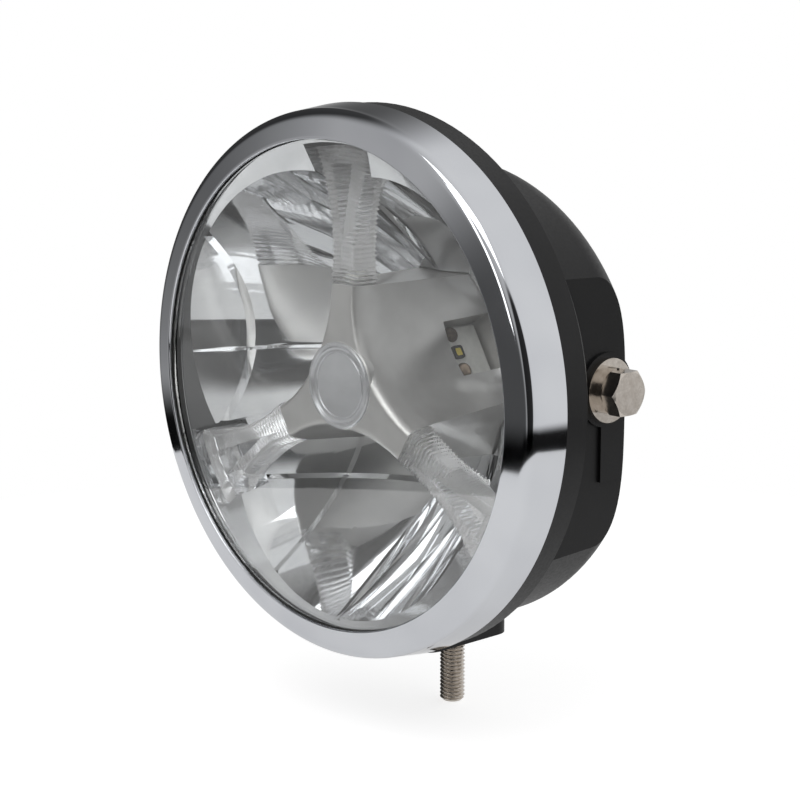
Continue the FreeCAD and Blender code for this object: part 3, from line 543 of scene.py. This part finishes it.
def tower_radius(angle, cup, shift):
    """The tower's outline where it meets a cup: a hollow flank circle, then the arm's flat end.

    The flank's circle shrinks with depth, and the depth is the cup's own there, so it is found by turns.
    """
    turn = np.abs(angle - cup)
    arm = ARM_REACH / np.cos(CUP_HALF_TURN - turn)
    across = FLANK_CENTRE * np.sin(turn)
    radius = np.full_like(angle, FOCUS_R)
    for _ in range(TOWER_ROUNDS):
        depth = cup_depth(radius * np.cos(angle), radius * np.sin(angle), cup, shift)
        flank = flank_circle(depth)
        near = FLANK_CENTRE * np.cos(turn) - np.sqrt(np.maximum(flank ** 2 - across ** 2, 0))
        radius = np.where(across < flank, np.minimum(near, arm), arm)
    return radius + TOWER_GAP


def cell_level(column, row):
    """How far a facet is set back: its column and row alternate between the levels."""
    column = np.where(column >= 0, column, -column - 1)
    return ((column % 2 + 2 * (row % 2)) / FACET_LEVELS - 0.5) * FACET_STEP


def column_at(x):
    """The column of facets at a place across the front view."""
    return np.floor(x / FACET_WIDTH).astype(int)


def row_at(z):
    """The row of facets at a height of the front view; the top row goes on to the rim."""
    return np.minimum(np.floor((z - FACET_BASE) / FACET_HEIGHT).astype(int), FACET_TOP_ROW)


def ray_through(angle, low, high):
    """Where a ray from the axis at each angle enters and leaves a box of the front view."""
    direction = np.stack([np.cos(angle), np.sin(angle)])
    direction = np.where(np.abs(direction) < NO_SHARE, NO_SHARE, direction)
    first, second = np.array(low)[:, None] / direction, np.array(high)[:, None] / direction
    enter = np.minimum(first, second).max(0)
    leave = np.maximum(first, second).min(0)
    return np.maximum(enter, 0), leave


def rim_depth(radius):
    """The rim's cone: depth grows inwards from the lens edge by a constant slope."""
    return RIM_DEPTH + (RIM_R - radius) * RIM_SLOPE


def cup_end(angle, cup, shift):
    """The radius that ends a cup: the guide's seat near an arm, elsewhere the rim's cone, met by turns."""
    near_arm = np.abs(angle - cup) > CUP_HALF_TURN - SEAT_TURN
    radius = np.full_like(angle, MIRROR_R)
    for _ in range(RIM_ROUNDS):
        radius = cup_radius(angle, cup, rim_depth(radius), shift)
    return np.where(near_arm, cup_radius(angle, cup, GUIDE_BACK, shift), np.minimum(radius, MIRROR_R))


def facet_patch(cup, column, row):
    """One facet of one cup, on a grid of angle and share of the way from the tower to the rim."""
    low = (column * FACET_WIDTH + STRIP_HALF, FACET_BASE + row * FACET_HEIGHT + STRIP_HALF)
    tall = FACET_HEIGHT - 2 * STRIP_HALF if row < FACET_TOP_ROW else MIRROR_R
    high = (low[0] + FACET_WIDTH - 2 * STRIP_HALF, low[1] + tall)
    shift = cell_level(column, row)
    corners = [math.atan2(z, x) for x in (low[0], high[0]) for z in (low[1], high[1])]
    corners = [cup + (a - cup + math.pi) % (2 * math.pi) - math.pi for a in corners]
    main = CUP_HALF_TURN - SEAT_TURN
    edges = [cup + side * turn for side in (-1, 1)
             for turn in (CUP_HALF_TURN, main - NO_TURN, main + NO_TURN)]
    stops = np.unique(np.clip(corners + edges, cup - CUP_HALF_TURN, cup + CUP_HALF_TURN))
    middles = (stops[1:] + stops[:-1]) / 2
    enter, leave = ray_through(middles, low, high)
    hit = (leave - enter > NO_LENGTH) & (enter < MIRROR_R)
    if not hit.any():
        return None
    first, last = stops[:-1][hit].min(), stops[1:][hit].max()
    angle = np.linspace(first, last, max(int((last - first) * MIRROR_R / FACET_GRID), 3))
    inside = stops[(stops > first) & (stops < last)]
    angle = np.unique(np.concatenate([angle, inside]))
    enter, leave = ray_through(angle, low, high)
    limit = cup_end(angle, cup, shift)
    near = np.minimum(np.maximum(enter, tower_radius(angle, cup, shift)), limit)
    far = np.clip(leave, near, limit)
    rows = max(int((far - near).max() / FACET_GRID), 2)
    if (far - near).max() < FACET_LEAST:
        return None
    radius = near + (far - near) * np.linspace(0, 1, rows)[:, None]
    x, z = radius * np.cos(angle), radius * np.sin(angle)
    points = np.stack([x, cup_depth(x, z, cup, shift), z], -1).reshape(-1, 3)
    return points, grid_faces(rows, len(angle))


def lit_place(x, z):
    """For points of the front view: the cup they lie in, and whether mirror shows there."""
    angle = np.arctan2(z, x)
    turns = np.stack([(angle - math.radians(c) + np.pi) % (2 * np.pi) - np.pi for c in CUP_ANGLES])
    which = np.abs(turns).argmin(0)
    cup = np.radians(np.array(CUP_ANGLES))[which]
    turn = np.take_along_axis(turns, which[None], 0)[0]
    radius = np.hypot(x, z)
    own = cup + turn
    return cup, (radius > tower_radius(own, cup, 0.0)) & (radius < cup_end(own, cup, 0.0))


def strip_between(first, last):
    """The mirror between two lines of the front view, where it shows; a line is x, z and facet levels."""
    ends = []
    seen = True
    for x, z, level in (first, last):
        cup, shown = lit_place(x, z)
        seen = seen & shown
        ends.append(np.stack([x, cup_depth(x, z, cup, level), z], -1))
    keep = seen[:-1] & seen[1:]
    return np.concatenate(ends), grid_faces(2, len(first[0]))[keep]


def step_strips():
    """The sloping strips on the facet lines: each joins the levels of the facets on its two sides."""
    found = []
    along = np.linspace(-MIRROR_R, MIRROR_R, STRIP_POINTS)
    for edge in FACET_COLUMNS[1:]:
        x = np.full_like(along, edge * FACET_WIDTH)
        row = row_at(along)
        found.append(strip_between((x - STRIP_HALF, along, cell_level(edge - 1, row)),
                                   (x + STRIP_HALF, along, cell_level(edge, row))))
    for edge in FACET_ROWS[1:]:
        z = np.full_like(along, FACET_BASE + edge * FACET_HEIGHT)
        column = column_at(along)
        found.append(strip_between((along, z - STRIP_HALF, cell_level(column, edge - 1)),
                                   (along, z + STRIP_HALF, cell_level(column, edge))))
    return found


def make_mirror(material):
    """Three faceted parabolic cups, the strips between facets, the rim, the guide seats and a plain back."""
    patches = [facet_patch(math.radians(cup), column, row)
               for cup in CUP_ANGLES for column in FACET_COLUMNS for row in FACET_ROWS]
    patches = [patch for patch in patches if patch] + step_strips()
    for cup in CUP_ANGLES:
        patches += rim_patches(math.radians(cup))
    points, faces = join(patches)
    faces = orient_to_front(points, faces)
    points, faces = join([(points, faces), mirror_back()])
    add_piece("mirror_cups", points, faces, material, "reflector", "mirror", sharp_degrees=12.0,
              recalculate=False)


def orient_to_front(points, faces):
    """Turns round the faces whose normal looks back into the lamp."""
    a, b, c, d = (points[faces[:, k]] for k in range(4))
    looks = np.cross(c - a, d - b)[:, 1]
    flip = looks > NO_AREA
    faces[flip] = faces[flip][:, ::-1]
    return faces


def polar(radius, depth, angle):
    """Points at radii, depths and angles about the lamp axis, as one list."""
    radius, depth, angle = np.broadcast_arrays(radius, depth, angle)
    return np.stack([radius * np.cos(angle), depth, radius * np.sin(angle)], -1).reshape(-1, 3)


def rim_band(angle, near):
    """The rim from a radius outwards: a cone up to the lens, a step down beside its skirt, a flat flange."""
    cone = near + (RIM_R - near) * np.linspace(0, 1, RIM_ROWS)[:, None] + 0 * angle
    radius = np.vstack([cone, 0 * cone[:1] + RIM_R + RIM_STEP, 0 * cone[:1] + LENS_R - FLANGE_GAP])
    depth = np.vstack([rim_depth(cone), 0 * cone[:2] + MIRROR_FRONT])
    return polar(radius, depth, angle), grid_faces(len(radius), len(angle))


def rim_patches(cup):
    """The rim round one cup, the guide seats at its two ends and the walls beside and beyond them."""
    main = CUP_HALF_TURN - SEAT_TURN
    highest = -FACET_STEP / 2
    middle = np.linspace(cup - main, cup + main, RIM_COLUMNS)
    beside_seats = cup + (middle - cup) * (1 - NO_TURN)
    found = [rim_band(middle, cup_end(beside_seats, cup, highest))]
    for side in (-1, 1):
        edge = cup + side * main
        seat = np.linspace(edge, cup + side * CUP_HALF_TURN, SEAT_COLUMNS)
        found.append(rim_band(seat, SEAT_END_R))
        near = cup_radius(seat, cup, GUIDE_BACK, highest)
        floor = near + (SEAT_END_R - near) * np.linspace(0, 1, SEAT_ROWS)[:, None]
        found.append((polar(floor, GUIDE_BACK, seat), grid_faces(SEAT_ROWS, SEAT_COLUMNS)))
        end_wall = np.array([GUIDE_BACK, rim_depth(SEAT_END_R)])[:, None]
        found.append((polar(SEAT_END_R, end_wall, seat), grid_faces(2, SEAT_COLUMNS)))
        radius = np.linspace(near[0], SEAT_END_R, SEAT_COLUMNS)
        cup_front = cup_depth(radius * np.cos(edge), radius * np.sin(edge), cup, 0.0)
        front = np.maximum(rim_depth(radius), cup_front)
        side_wall = np.stack([0 * radius + GUIDE_BACK, front])
        found.append((polar(radius, side_wall, edge), grid_faces(2, SEAT_COLUMNS)))
    return found


def mirror_back():
    """The moulding's plain back: the deepest of the three cups set back by its wall, looking backwards."""
    rows = 14
    columns = 240
    angle = np.linspace(0, 2 * np.pi, columns, endpoint=False)
    radius = np.linspace(ARM_REACH, MIRROR_R, rows)[:, None]
    x, z = radius * np.cos(angle), radius * np.sin(angle)
    depth = np.max([cup_depth(x, z, math.radians(cup), MIRROR_WALL) for cup in CUP_ANGLES], 0)
    depth = np.maximum(depth, GUIDE_BACK + MIRROR_WALL)
    points = np.stack([x, depth, z], -1).reshape(-1, 3)
    return points, grid_faces(rows, columns, wrap=True)


def circle_through(a, b, c):
    """Centre and radius of the circle through three points of a plane."""
    left = 2 * np.array([b - a, c - a])
    right = np.array([b @ b - a @ a, c @ c - a @ a])
    centre = np.linalg.solve(left, right)
    return centre, np.linalg.norm(a - centre)


def guide_patches():
    """A forked blade towards +x, half of it, as patches of (reach, across, drop): root, leg, bridge and tip.

    The outer edge is a circle through root, waist and tip, waved by the flutes; the front drops towards
    that edge like a quarter ellipse.
    """
    tip_reach = math.sqrt(GUIDE_END_R ** 2 - GUIDE_TIP_HALF ** 2)
    centre, radius = circle_through(np.array([ARM_REACH, GUIDE_ROOT_HALF]),
                                    np.array([GUIDE_WAIST_REACH, GUIDE_WAIST_HALF]),
                                    np.array([tip_reach, GUIDE_TIP_HALF]))

    def edge(reach):
        """How far across the outer edge lies at a reach."""
        smooth = centre[1] - np.sqrt(radius ** 2 - (reach - centre[0]) ** 2)
        return smooth - flute_at(np.hypot(reach, smooth))

    def with_drop(reach, half):
        """A patch with its drop: a quarter ellipse over the width of the soft edge."""
        share = np.clip((half - edge(reach)) / GUIDE_EDGE_WIDTH + 1, 0, 1)
        return reach, half, GUIDE_EDGE_DEPTH * (1 - np.sqrt(1 - share ** 2))

    window_end = GUIDE_END_R - GUIDE_BRIDGE
    fine = FLUTE_PITCH / FLUTE_ROWS
    across = np.sin(np.linspace(0, np.pi / 2, GUIDE_COLUMNS))

    def strip(first, last, inner):
        """Rows of equal reach, each from an inner line to the outer edge."""
        reach = np.linspace(first, last, int((last - first) / fine) + 1)[:, None] + 0 * across
        low, high = inner(reach), edge(reach)
        return with_drop(reach, low + (high - low) * across)

    def tip(inner_half, outer_half, flare):
        """Rows from the window's end to the circle that ends the guide, wider by the flare there."""
        half = inner_half + (outer_half - inner_half) * across
        share = np.linspace(0, 1, int((GUIDE_END_R - window_end) / fine) + 1)[:, None]
        half = half + flare * across * share
        end = np.sqrt(GUIDE_END_R ** 2 - half[-1] ** 2)
        return with_drop(window_end + (end - window_end) * share, half)

    def window(reach):
        """Half the window's width: it grows evenly from the fork to the window's end."""
        return GUIDE_WINDOW_HALF * (reach - GUIDE_FORK_REACH) / (window_end - GUIDE_FORK_REACH)

    end_half = edge(window_end)
    return [strip(ARM_REACH, GUIDE_FORK_REACH, np.zeros_like), strip(GUIDE_FORK_REACH, window_end, window),
            tip(0.0, GUIDE_WINDOW_HALF, 0.0), tip(GUIDE_WINDOW_HALF, end_half, GUIDE_TIP_HALF - end_half)]


def flute_at(radius):
    """Depth of the flutes at a distance from the lamp axis: round hollows that meet in sharp ridges."""
    return FLUTE_DEPTH * np.abs(np.sin(np.pi * radius / FLUTE_PITCH))


def make_guide(name, angle, material):
    """A light guide: the forked outline with fine flutes of constant radius on its front, back and sides."""
    patches = []
    for reach, half, drop in guide_patches():
        rows, columns = reach.shape
        flute = flute_at(np.hypot(reach, half))
        for side in (-1, 1):
            front = np.stack([reach, GUIDE_FRONT + flute + drop, side * half], -1)
            back = np.stack([reach, GUIDE_BACK - flute, side * half], -1)
            faces = grid_faces(rows, columns)
            patches.append((front.reshape(-1, 3), faces))
            patches.append((back.reshape(-1, 3), faces[:, ::-1]))
            for pick in (np.s_[:, 0], np.s_[:, -1], np.s_[0, :], np.s_[-1, :]):
                line_front, line_back = front[pick], back[pick]
                patches.append((np.concatenate([line_front, line_back]), grid_faces(2, len(line_front))))
    points, faces = join(patches)
    points, faces = drop_inner_walls(points, faces)
    points = turned_to(math.radians(angle), *points.T)
    add_piece(name, points, faces, material, name, "clear_guide", sharp_degrees=50.0)


def drop_inner_walls(points, faces):
    """Welds equal points and drops each wall that two neighbouring patches both made."""
    keys = np.round(points, 5)
    _, first, same = np.unique(keys, axis=0, return_index=True, return_inverse=True)
    faces = same.reshape(-1)[faces]
    order = np.sort(faces, 1)
    _, place, count = np.unique(order, axis=0, return_inverse=True, return_counts=True)
    lone = count[place.reshape(-1)] == 1
    flat = (order[:, 1:] == order[:, :-1]).any(1)
    return points[first], faces[lone & ~flat]


def turned_to(angle, radial, depth, lateral):
    """Points given along a cup's or an arm's direction, in depth and across it, in the lamp's own axes."""
    return np.stack([radial * np.cos(angle) - lateral * np.sin(angle), depth + 0 * radial,
                     radial * np.sin(angle) + lateral * np.cos(angle)], -1)


def flank_circle(depth):
    """Radius of a flank's hollow circle: it shrinks with depth by the draft."""
    return FLANK_R - (depth - HUB_FACE_DEPTH) * FLANK_DRAFT


def tower_outline(flank):
    """One third of the tower's outline for each flank radius, along a cup: the flank, then an arm's flat end.

    The flank is an arc of its circle between the two arms, with columns at the pocket's sides.
    """
    along, beside = math.cos(CUP_HALF_TURN), math.sin(CUP_HALF_TURN)
    half = FLANK_CENTRE * beside - np.sqrt(flank ** 2 - (ARM_REACH - FLANK_CENTRE * along) ** 2)
    corner = ARM_REACH * beside - half * along
    side = POCKET_HALF + (corner - POCKET_HALF) * np.linspace(0, 1, TOWER_SIDE_COLUMNS)
    middle = np.linspace(-POCKET_HALF, POCKET_HALF, POCKET_COLUMNS)[1:-1] + 0 * flank
    lateral = np.hstack([-side[:, ::-1], middle, side])
    radial = FLANK_CENTRE - np.sqrt(flank ** 2 - lateral ** 2)
    across = half * np.linspace(-1, 1, TOWER_END_COLUMNS)
    end_radial = ARM_REACH * along - across * beside
    end_lateral = ARM_REACH * beside + across * along
    return np.hstack([radial, end_radial]), np.hstack([lateral, end_lateral])


def make_tower(material):
    """The column: its outline carried back with the draft, the front edge a quarter ellipse, pockets cut.

    Rows run from the axis out over the front, round the soft edge, down the flanks and in to the axis again.
    """
    turn = np.linspace(0, np.pi / 2, TOWER_EDGE_ROWS)
    edge_end = HUB_FACE_DEPTH + TOWER_EDGE_DEPTH
    straight = np.concatenate([np.linspace(edge_end, POCKET_START, TOWER_FLANK_ROWS)[1:],
                               np.linspace(POCKET_START, POCKET_END, POCKET_ROWS)[1:], [TOWER_BACK]])
    depth = np.concatenate([HUB_FACE_DEPTH + TOWER_EDGE_DEPTH * (1 - np.cos(turn)), straight])[:, None]
    inset = np.concatenate([TOWER_EDGE_WIDTH * (1 - np.sin(turn)), 0 * straight])[:, None]
    radial, lateral = tower_outline(flank_circle(depth) + inset)
    share = np.linspace(0, 1, TOWER_FACE_ROWS)[:-1, None]
    radial = np.vstack([share * radial[:1], radial, 0 * radial[:1]])
    lateral = np.vstack([share * lateral[:1], lateral, 0 * lateral[:1]])
    depth = np.vstack([0 * share + HUB_FACE_DEPTH, depth, depth[-1:]])
    slope = np.clip((np.hypot(radial, lateral) - HUB_R) / (ARM_REACH - HUB_R), 0, 1)
    fade = np.clip((POCKET_START - depth) / (POCKET_START - HUB_FACE_DEPTH), 0, 1)
    depth = depth + (ARM_FACE_DEPTH - HUB_FACE_DEPTH) * slope * fade
    rows, columns = radial.shape
    cups = np.radians(np.array(CUP_ANGLES))
    ring = np.concatenate([turned_to(cup, radial, depth, lateral) for cup in cups], 1)
    around = len(cups) * columns
    faces = grid_faces(rows, around, wrap=True)
    row, column = np.divmod(np.arange(len(faces)), around)
    flat = depth.max(1)
    in_pocket = (flat[row] >= POCKET_START) & (flat[np.minimum(row + 1, rows - 1)] <= POCKET_END)
    first = TOWER_SIDE_COLUMNS - 1
    last = first + POCKET_COLUMNS - 1
    in_pocket &= (column % columns >= first) & (column % columns < last) & (row < rows - 2)
    patches = [(ring.reshape(-1, 3), faces[~in_pocket])]
    held = (flat >= POCKET_START) & (flat <= POCKET_END) & (np.arange(rows) < rows - 2)
    for cup in cups:
        patches += pocket_walls(cup, *(grid[held][:, first:last + 1] for grid in (radial, depth, lateral)))
    points, faces = join(patches + [hub_boss()])
    add_piece("tower_column", points, faces, material, "led_tower", "satin_metal", sharp_degrees=40.0)


def hub_boss():
    """The round boss under the badge: a flat front, a rounded edge and a slightly flared side, turned."""
    front = HUB_FACE_DEPTH - BOSS_RISE
    back = HUB_FACE_DEPTH + BOSS_SUNK
    edge = rounded((HUB_R - BOSS_ROUND, front), (HUB_R, front), (HUB_R, front + BOSS_ROUND), count=7)
    profile = np.concatenate([[(0, front)], edge, [(HUB_R + BOSS_FLARE, back), (0, back)]])
    return turned(profile, segments=160)


def pocket_walls(cup, radial, depth, lateral):
    """A pocket's floor and four walls: each joins the opening's edge in the flank to the flat floor."""
    floor = np.full_like(radial, POCKET_FLOOR)
    found = [(turned_to(cup, floor, depth, lateral).reshape(-1, 3), grid_faces(*radial.shape))]
    for pick in (np.s_[:, 0], np.s_[:, -1], np.s_[0, :], np.s_[-1, :]):
        wall = turned_to(cup, np.stack([radial[pick], floor[pick]]), np.stack([depth[pick]] * 2),
                         np.stack([lateral[pick]] * 2))
        found.append((wall.reshape(-1, 3), grid_faces(2, wall.shape[1])))
    return found


def make_led_frames(material):
    """The black package round each emitter: a squared-off circle for outline, a low step for section."""
    segments = 48
    power = 6
    angle = np.linspace(0, 2 * np.pi, segments, endpoint=False)
    square = (np.abs(np.cos(angle)) ** power + np.abs(np.sin(angle)) ** power) ** (-1 / power)
    rise = np.array([0.0, LED_FRAME_RISE, LED_FRAME_RISE - LED_FRAME_FALL, -LED_FRAME_SUNK, 0.0])
    size = np.where([True, True, False, False, True], LED_FRAME_INNER, LED_FRAME_OUTER)[:, None]
    height = LED_TOP + rise[:, None]
    depth = LED_DEPTH + size * square * np.cos(angle)
    lateral = size * square * np.sin(angle)
    for cup in CUP_ANGLES:
        points = turned_to(math.radians(cup), height + 0 * lateral, depth, lateral).reshape(-1, 3)
        faces = grid_faces(len(rise), segments, wrap=True)
        add_piece("led_frame_%d" % cup, points, faces, material, None, "electronics")


def make_badge(material):
    """The hub disc: a bevelled rim, a groove, a thin inner ring and a barely domed plain field, turned."""
    outer = (badge_high.x - badge_low.x) / 2 / MM + BADGE_EXTRA_R
    front = badge_low.y / MM - AXIS_PLACE[1]
    back = badge_high.y / MM - AXIS_PLACE[1]
    floor = front + BADGE_FIELD_DEPTH
    field = np.linspace(0, outer - BADGE_FIELD, 12)
    ring = outer - BADGE_RING
    profile = np.concatenate([
        np.stack([field, floor - BADGE_FIELD_CROWN * (1 - (field / field[-1]) ** 2)], -1),
        rounded((ring - BADGE_RING_HALF, floor), (ring, front + BADGE_RING_SUNK),
                (ring + BADGE_RING_HALF, floor), count=9),
        [(outer - BADGE_GROOVE, floor + BADGE_GROOVE_DEPTH)],
        rounded((outer - BADGE_RIM_WIDTH, floor - BADGE_RIM_FOOT), (outer - BADGE_RIM_CORNER, front),
                (outer - BADGE_RIM_TOP, front), count=6),
        rounded((outer - BADGE_BEVEL, front), (outer, front), (outer, front + BADGE_BEVEL), count=6),
        [(outer, back), (0, back)]])
    add_piece("hub_disc", *turned(profile, segments=160), material, "hub_badge", "badge", sharp_degrees=40.0)


def make_stud(material):
    """The stud: radius swings between root and crest along a helix; inside, a plain neck and a hexagon."""
    tip = stud_low.z / MM - AXIS_PLACE[2]
    seat = -AXIS_PLACE[2]
    top = stud_high.z / MM - AXIS_PLACE[2]
    segments = 72
    angle = np.linspace(0, 2 * np.pi, segments, endpoint=False)
    height = np.linspace(tip, seat, int((seat - tip) / THREAD_PITCH * THREAD_ROWS))[:, None]
    phase = (height - tip) / THREAD_PITCH + angle / (2 * np.pi)
    saw = np.abs((phase % 1) * 2 - 1)
    thread = THREAD_R - THREAD_DEPTH * np.clip(saw * THREAD_STEEPNESS - THREAD_CREST, 0, 1)
    chamfer = THREAD_R - STUD_CHAMFER + np.minimum(height - tip, STUD_CHAMFER)
    runout = np.clip((seat - height) / THREAD_PITCH, 0, 1)
    radius = np.minimum(THREAD_R - (THREAD_R - thread) * runout, chamfer)
    neck = np.full(segments, STUD_NECK_R)
    hexagon = STUD_FLATS / 2 / np.cos((angle + np.pi / 6) % (np.pi / 3) - np.pi / 6)
    under_head = top - STUD_HEAD
    inner = [(seat, neck), (under_head, neck), (under_head, hexagon), (top, hexagon), (top, hexagon * 0)]
    radius = np.concatenate([radius[:1] * 0, radius, [ring for _, ring in inner]])
    height = np.concatenate([height[:1], height, np.array([[z] for z, _ in inner])])
    setback = -AXIS_PLACE[1]
    points = np.stack([radius * np.cos(angle), setback + radius * np.sin(angle), height + 0 * radius], -1)
    add_piece("threaded_stud", points.reshape(-1, 3), grid_faces(len(radius), segments, wrap=True), material,
              "bottom_stud", "steel", sharp_degrees=40.0)


def direction(azimuth, elevation):
    """The unit vector at an azimuth, counted from +x towards +y, and an elevation, both in degrees."""
    a, e = math.radians(azimuth), math.radians(elevation)
    return Vector((math.cos(e) * math.cos(a), math.cos(e) * math.sin(a), math.sin(e)))


def set_world():
    """A plain studio: white to the camera; the lamp sees a bright right side and soft dark fields.

    A field's share of light changes by a smooth step of the cosine of the angle from its direction.
    """
    world = bpy.data.worlds.new("studio")
    bpy.context.scene.world = world
    world.use_nodes = True
    tree = world.node_tree
    tree.nodes.clear()
    way = add_node(tree, "ShaderNodeTexCoord").outputs["Generated"]
    studio = 1.0
    for name, (azimuth, elevation, edge, core, outside, inside) in STUDIO_FIELDS.items():
        nearness = add_node(tree, "ShaderNodeVectorMath", {0: way, 1: direction(azimuth, elevation)},
                            operation="DOT_PRODUCT")
        range_sockets = {"From Min": edge, "From Max": core, "To Min": outside, "To Max": inside}
        share = add_node(tree, "ShaderNodeMapRange", {"Value": nearness.outputs["Value"], **range_sockets},
                         label=name, interpolation_type="SMOOTHSTEP")
        product = add_node(tree, "ShaderNodeMath", {0: studio, 1: share.outputs["Result"]},
                           operation="MULTIPLY")
        studio = product.outputs["Value"]
    path = add_node(tree, "ShaderNodeLightPath")
    seen = add_node(tree, "ShaderNodeMixShader", {
        0: path.outputs["Is Camera Ray"],
        1: add_node(tree, "ShaderNodeBackground", {"Color": WHITE, "Strength": studio}).outputs["Background"],
        2: add_node(tree, "ShaderNodeBackground", {"Color": WHITE, "Strength": 1.0}).outputs["Background"]})
    add_node(tree, "ShaderNodeOutputWorld", {"Surface": seen.outputs["Shader"]})


def make_floor():
    """A round white table top under the stud: it keeps the lamp's shadow and shows pale in the chrome."""
    material = bpy.data.materials.new("white_table")
    material.use_nodes = True
    tree = material.node_tree
    tree.nodes.clear()
    path = add_node(tree, "ShaderNodeLightPath")
    paint = add_node(tree, "ShaderNodeBsdfDiffuse", {"Color": to_linear("#b4b4b4")})
    gloss = add_node(tree, "ShaderNodeMath", {
        0: path.outputs["Is Glossy Ray"], 1: path.outputs["Is Transmission Ray"]}, operation="MAXIMUM")
    gloss = add_node(tree, "ShaderNodeMath", {
        0: gloss.outputs["Value"], 1: FLOOR_GLOW_GLOSS}, operation="MULTIPLY")
    strength = add_node(tree, "ShaderNodeMath", {
        0: path.outputs["Is Camera Ray"], 1: FLOOR_GLOW, 2: gloss.outputs["Value"]}, operation="MULTIPLY_ADD")
    glow = add_node(tree, "ShaderNodeEmission", {"Strength": strength.outputs["Value"]})
    both = add_node(tree, "ShaderNodeAddShader", {0: paint.outputs["BSDF"], 1: glow.outputs["Emission"]})
    add_node(tree, "ShaderNodeOutputMaterial", {"Surface": both.outputs["Shader"]})
    top = cad_box[0].z / MM - FLOOR_GAP
    angle = np.linspace(0, 2 * np.pi, FLOOR_CORNERS, endpoint=False)
    x, y = FLOOR_R * np.cos(angle), FLOOR_MIDDLE_Y + FLOOR_R * np.sin(angle)
    points = np.stack([x, y, 0 * angle + top], -1)
    mesh = bpy.data.meshes.new("table")
    mesh.from_pydata(points * MM, [], [list(range(FLOOR_CORNERS))])
    mesh.materials.append(material)
    table = bpy.data.objects.new("table", mesh)
    bpy.context.scene.collection.objects.link(table)


def add_softbox(name, azimuth, elevation, distance, width, height, power):
    """An area light in a direction from the lamp's middle, aimed at it, unseen by the camera; in metres."""
    way = direction(azimuth, elevation)
    light = bpy.data.lights.new(name, "AREA")
    light.shape = "RECTANGLE"
    light.size = width
    light.size_y = height
    light.energy = power
    softbox = bpy.data.objects.new(name, light)
    softbox.location = Vector(LAMP_MIDDLE) * MM + way * distance
    softbox.rotation_euler = way.to_track_quat("Z", "Y").to_euler()
    softbox.visible_camera = False
    bpy.context.scene.collection.objects.link(softbox)


def set_camera():
    """The camera at the photograph's place: 46 degrees to the right of the front and 11 above it."""
    camera = bpy.data.cameras.new("camera")
    camera.lens = CAMERA_LENS
    camera.sensor_width = CAMERA_SENSOR
    up = np.cross(CAMERA_BACK, CAMERA_RIGHT)
    eye = bpy.data.objects.new("camera", camera)
    matrix = np.eye(4)
    matrix[:3, :3] = np.stack([CAMERA_RIGHT, up, CAMERA_BACK], -1)
    matrix[:3, 3] = (CAMERA_PLACE + AXIS_PLACE) * MM
    eye.matrix_world = Matrix(matrix.tolist())
    bpy.context.scene.collection.objects.link(eye)
    bpy.context.scene.camera = eye


bpy.context.scene.view_settings.view_transform = "Standard"
steel = stainless_steel()
acrylic = clear_acrylic()
phosphor = led_phosphor()
rubber = seal_rubber()
black_parts = black_moulding()
small_screw = dark_zinc()
white_board = white_solder_mask()

make_bezel(chrome_plate())
make_lens(clear_polycarbonate())
make_mirror(aluminised_mirror())
make_tower(satin_metallised())
make_led_frames(black_parts)
make_badge(badge_aluminium())
make_stud(steel)
for side, arm in zip(("top", "left", "right"), ARM_ANGLES):
    make_guide("light_guide_" + side, arm, acrylic)

cad_finish = {
    black_stove_paint(): ["housing"],
    rubber: ["lens_seal", "cable_grommet"],
    white_board: ["led_board_right", "led_board_left", "led_board_bottom"],
    phosphor: ["led_right", "led_left", "led_bottom"],
    led_silicone(): ["guide_leds"],
    green_solder_mask(): ["driver_board"],
    black_parts: ["driver_coil", "driver_capacitors", "driver_connector", "breather"],
    small_screw: ["led_board_screws", "driver_screws"],
    steel: ["tower_screws", "stud_washer"] + [part + side for side in ("_right", "_left") for part in
            ("side_bolt", "spring_washer", "flat_washer", "inner_nut")],
}
for material, names in cad_finish.items():
    for name in names:
        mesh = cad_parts[name].data
        mesh.materials.clear()
        mesh.materials.append(material)

set_world()
make_floor()
add_softbox("key_softbox", -72, 48, 1.0, 0.7, 0.5, 2.6)
add_softbox("front_strip", -98, 18, 1.2, 0.16, 0.7, 1.0)
set_camera()
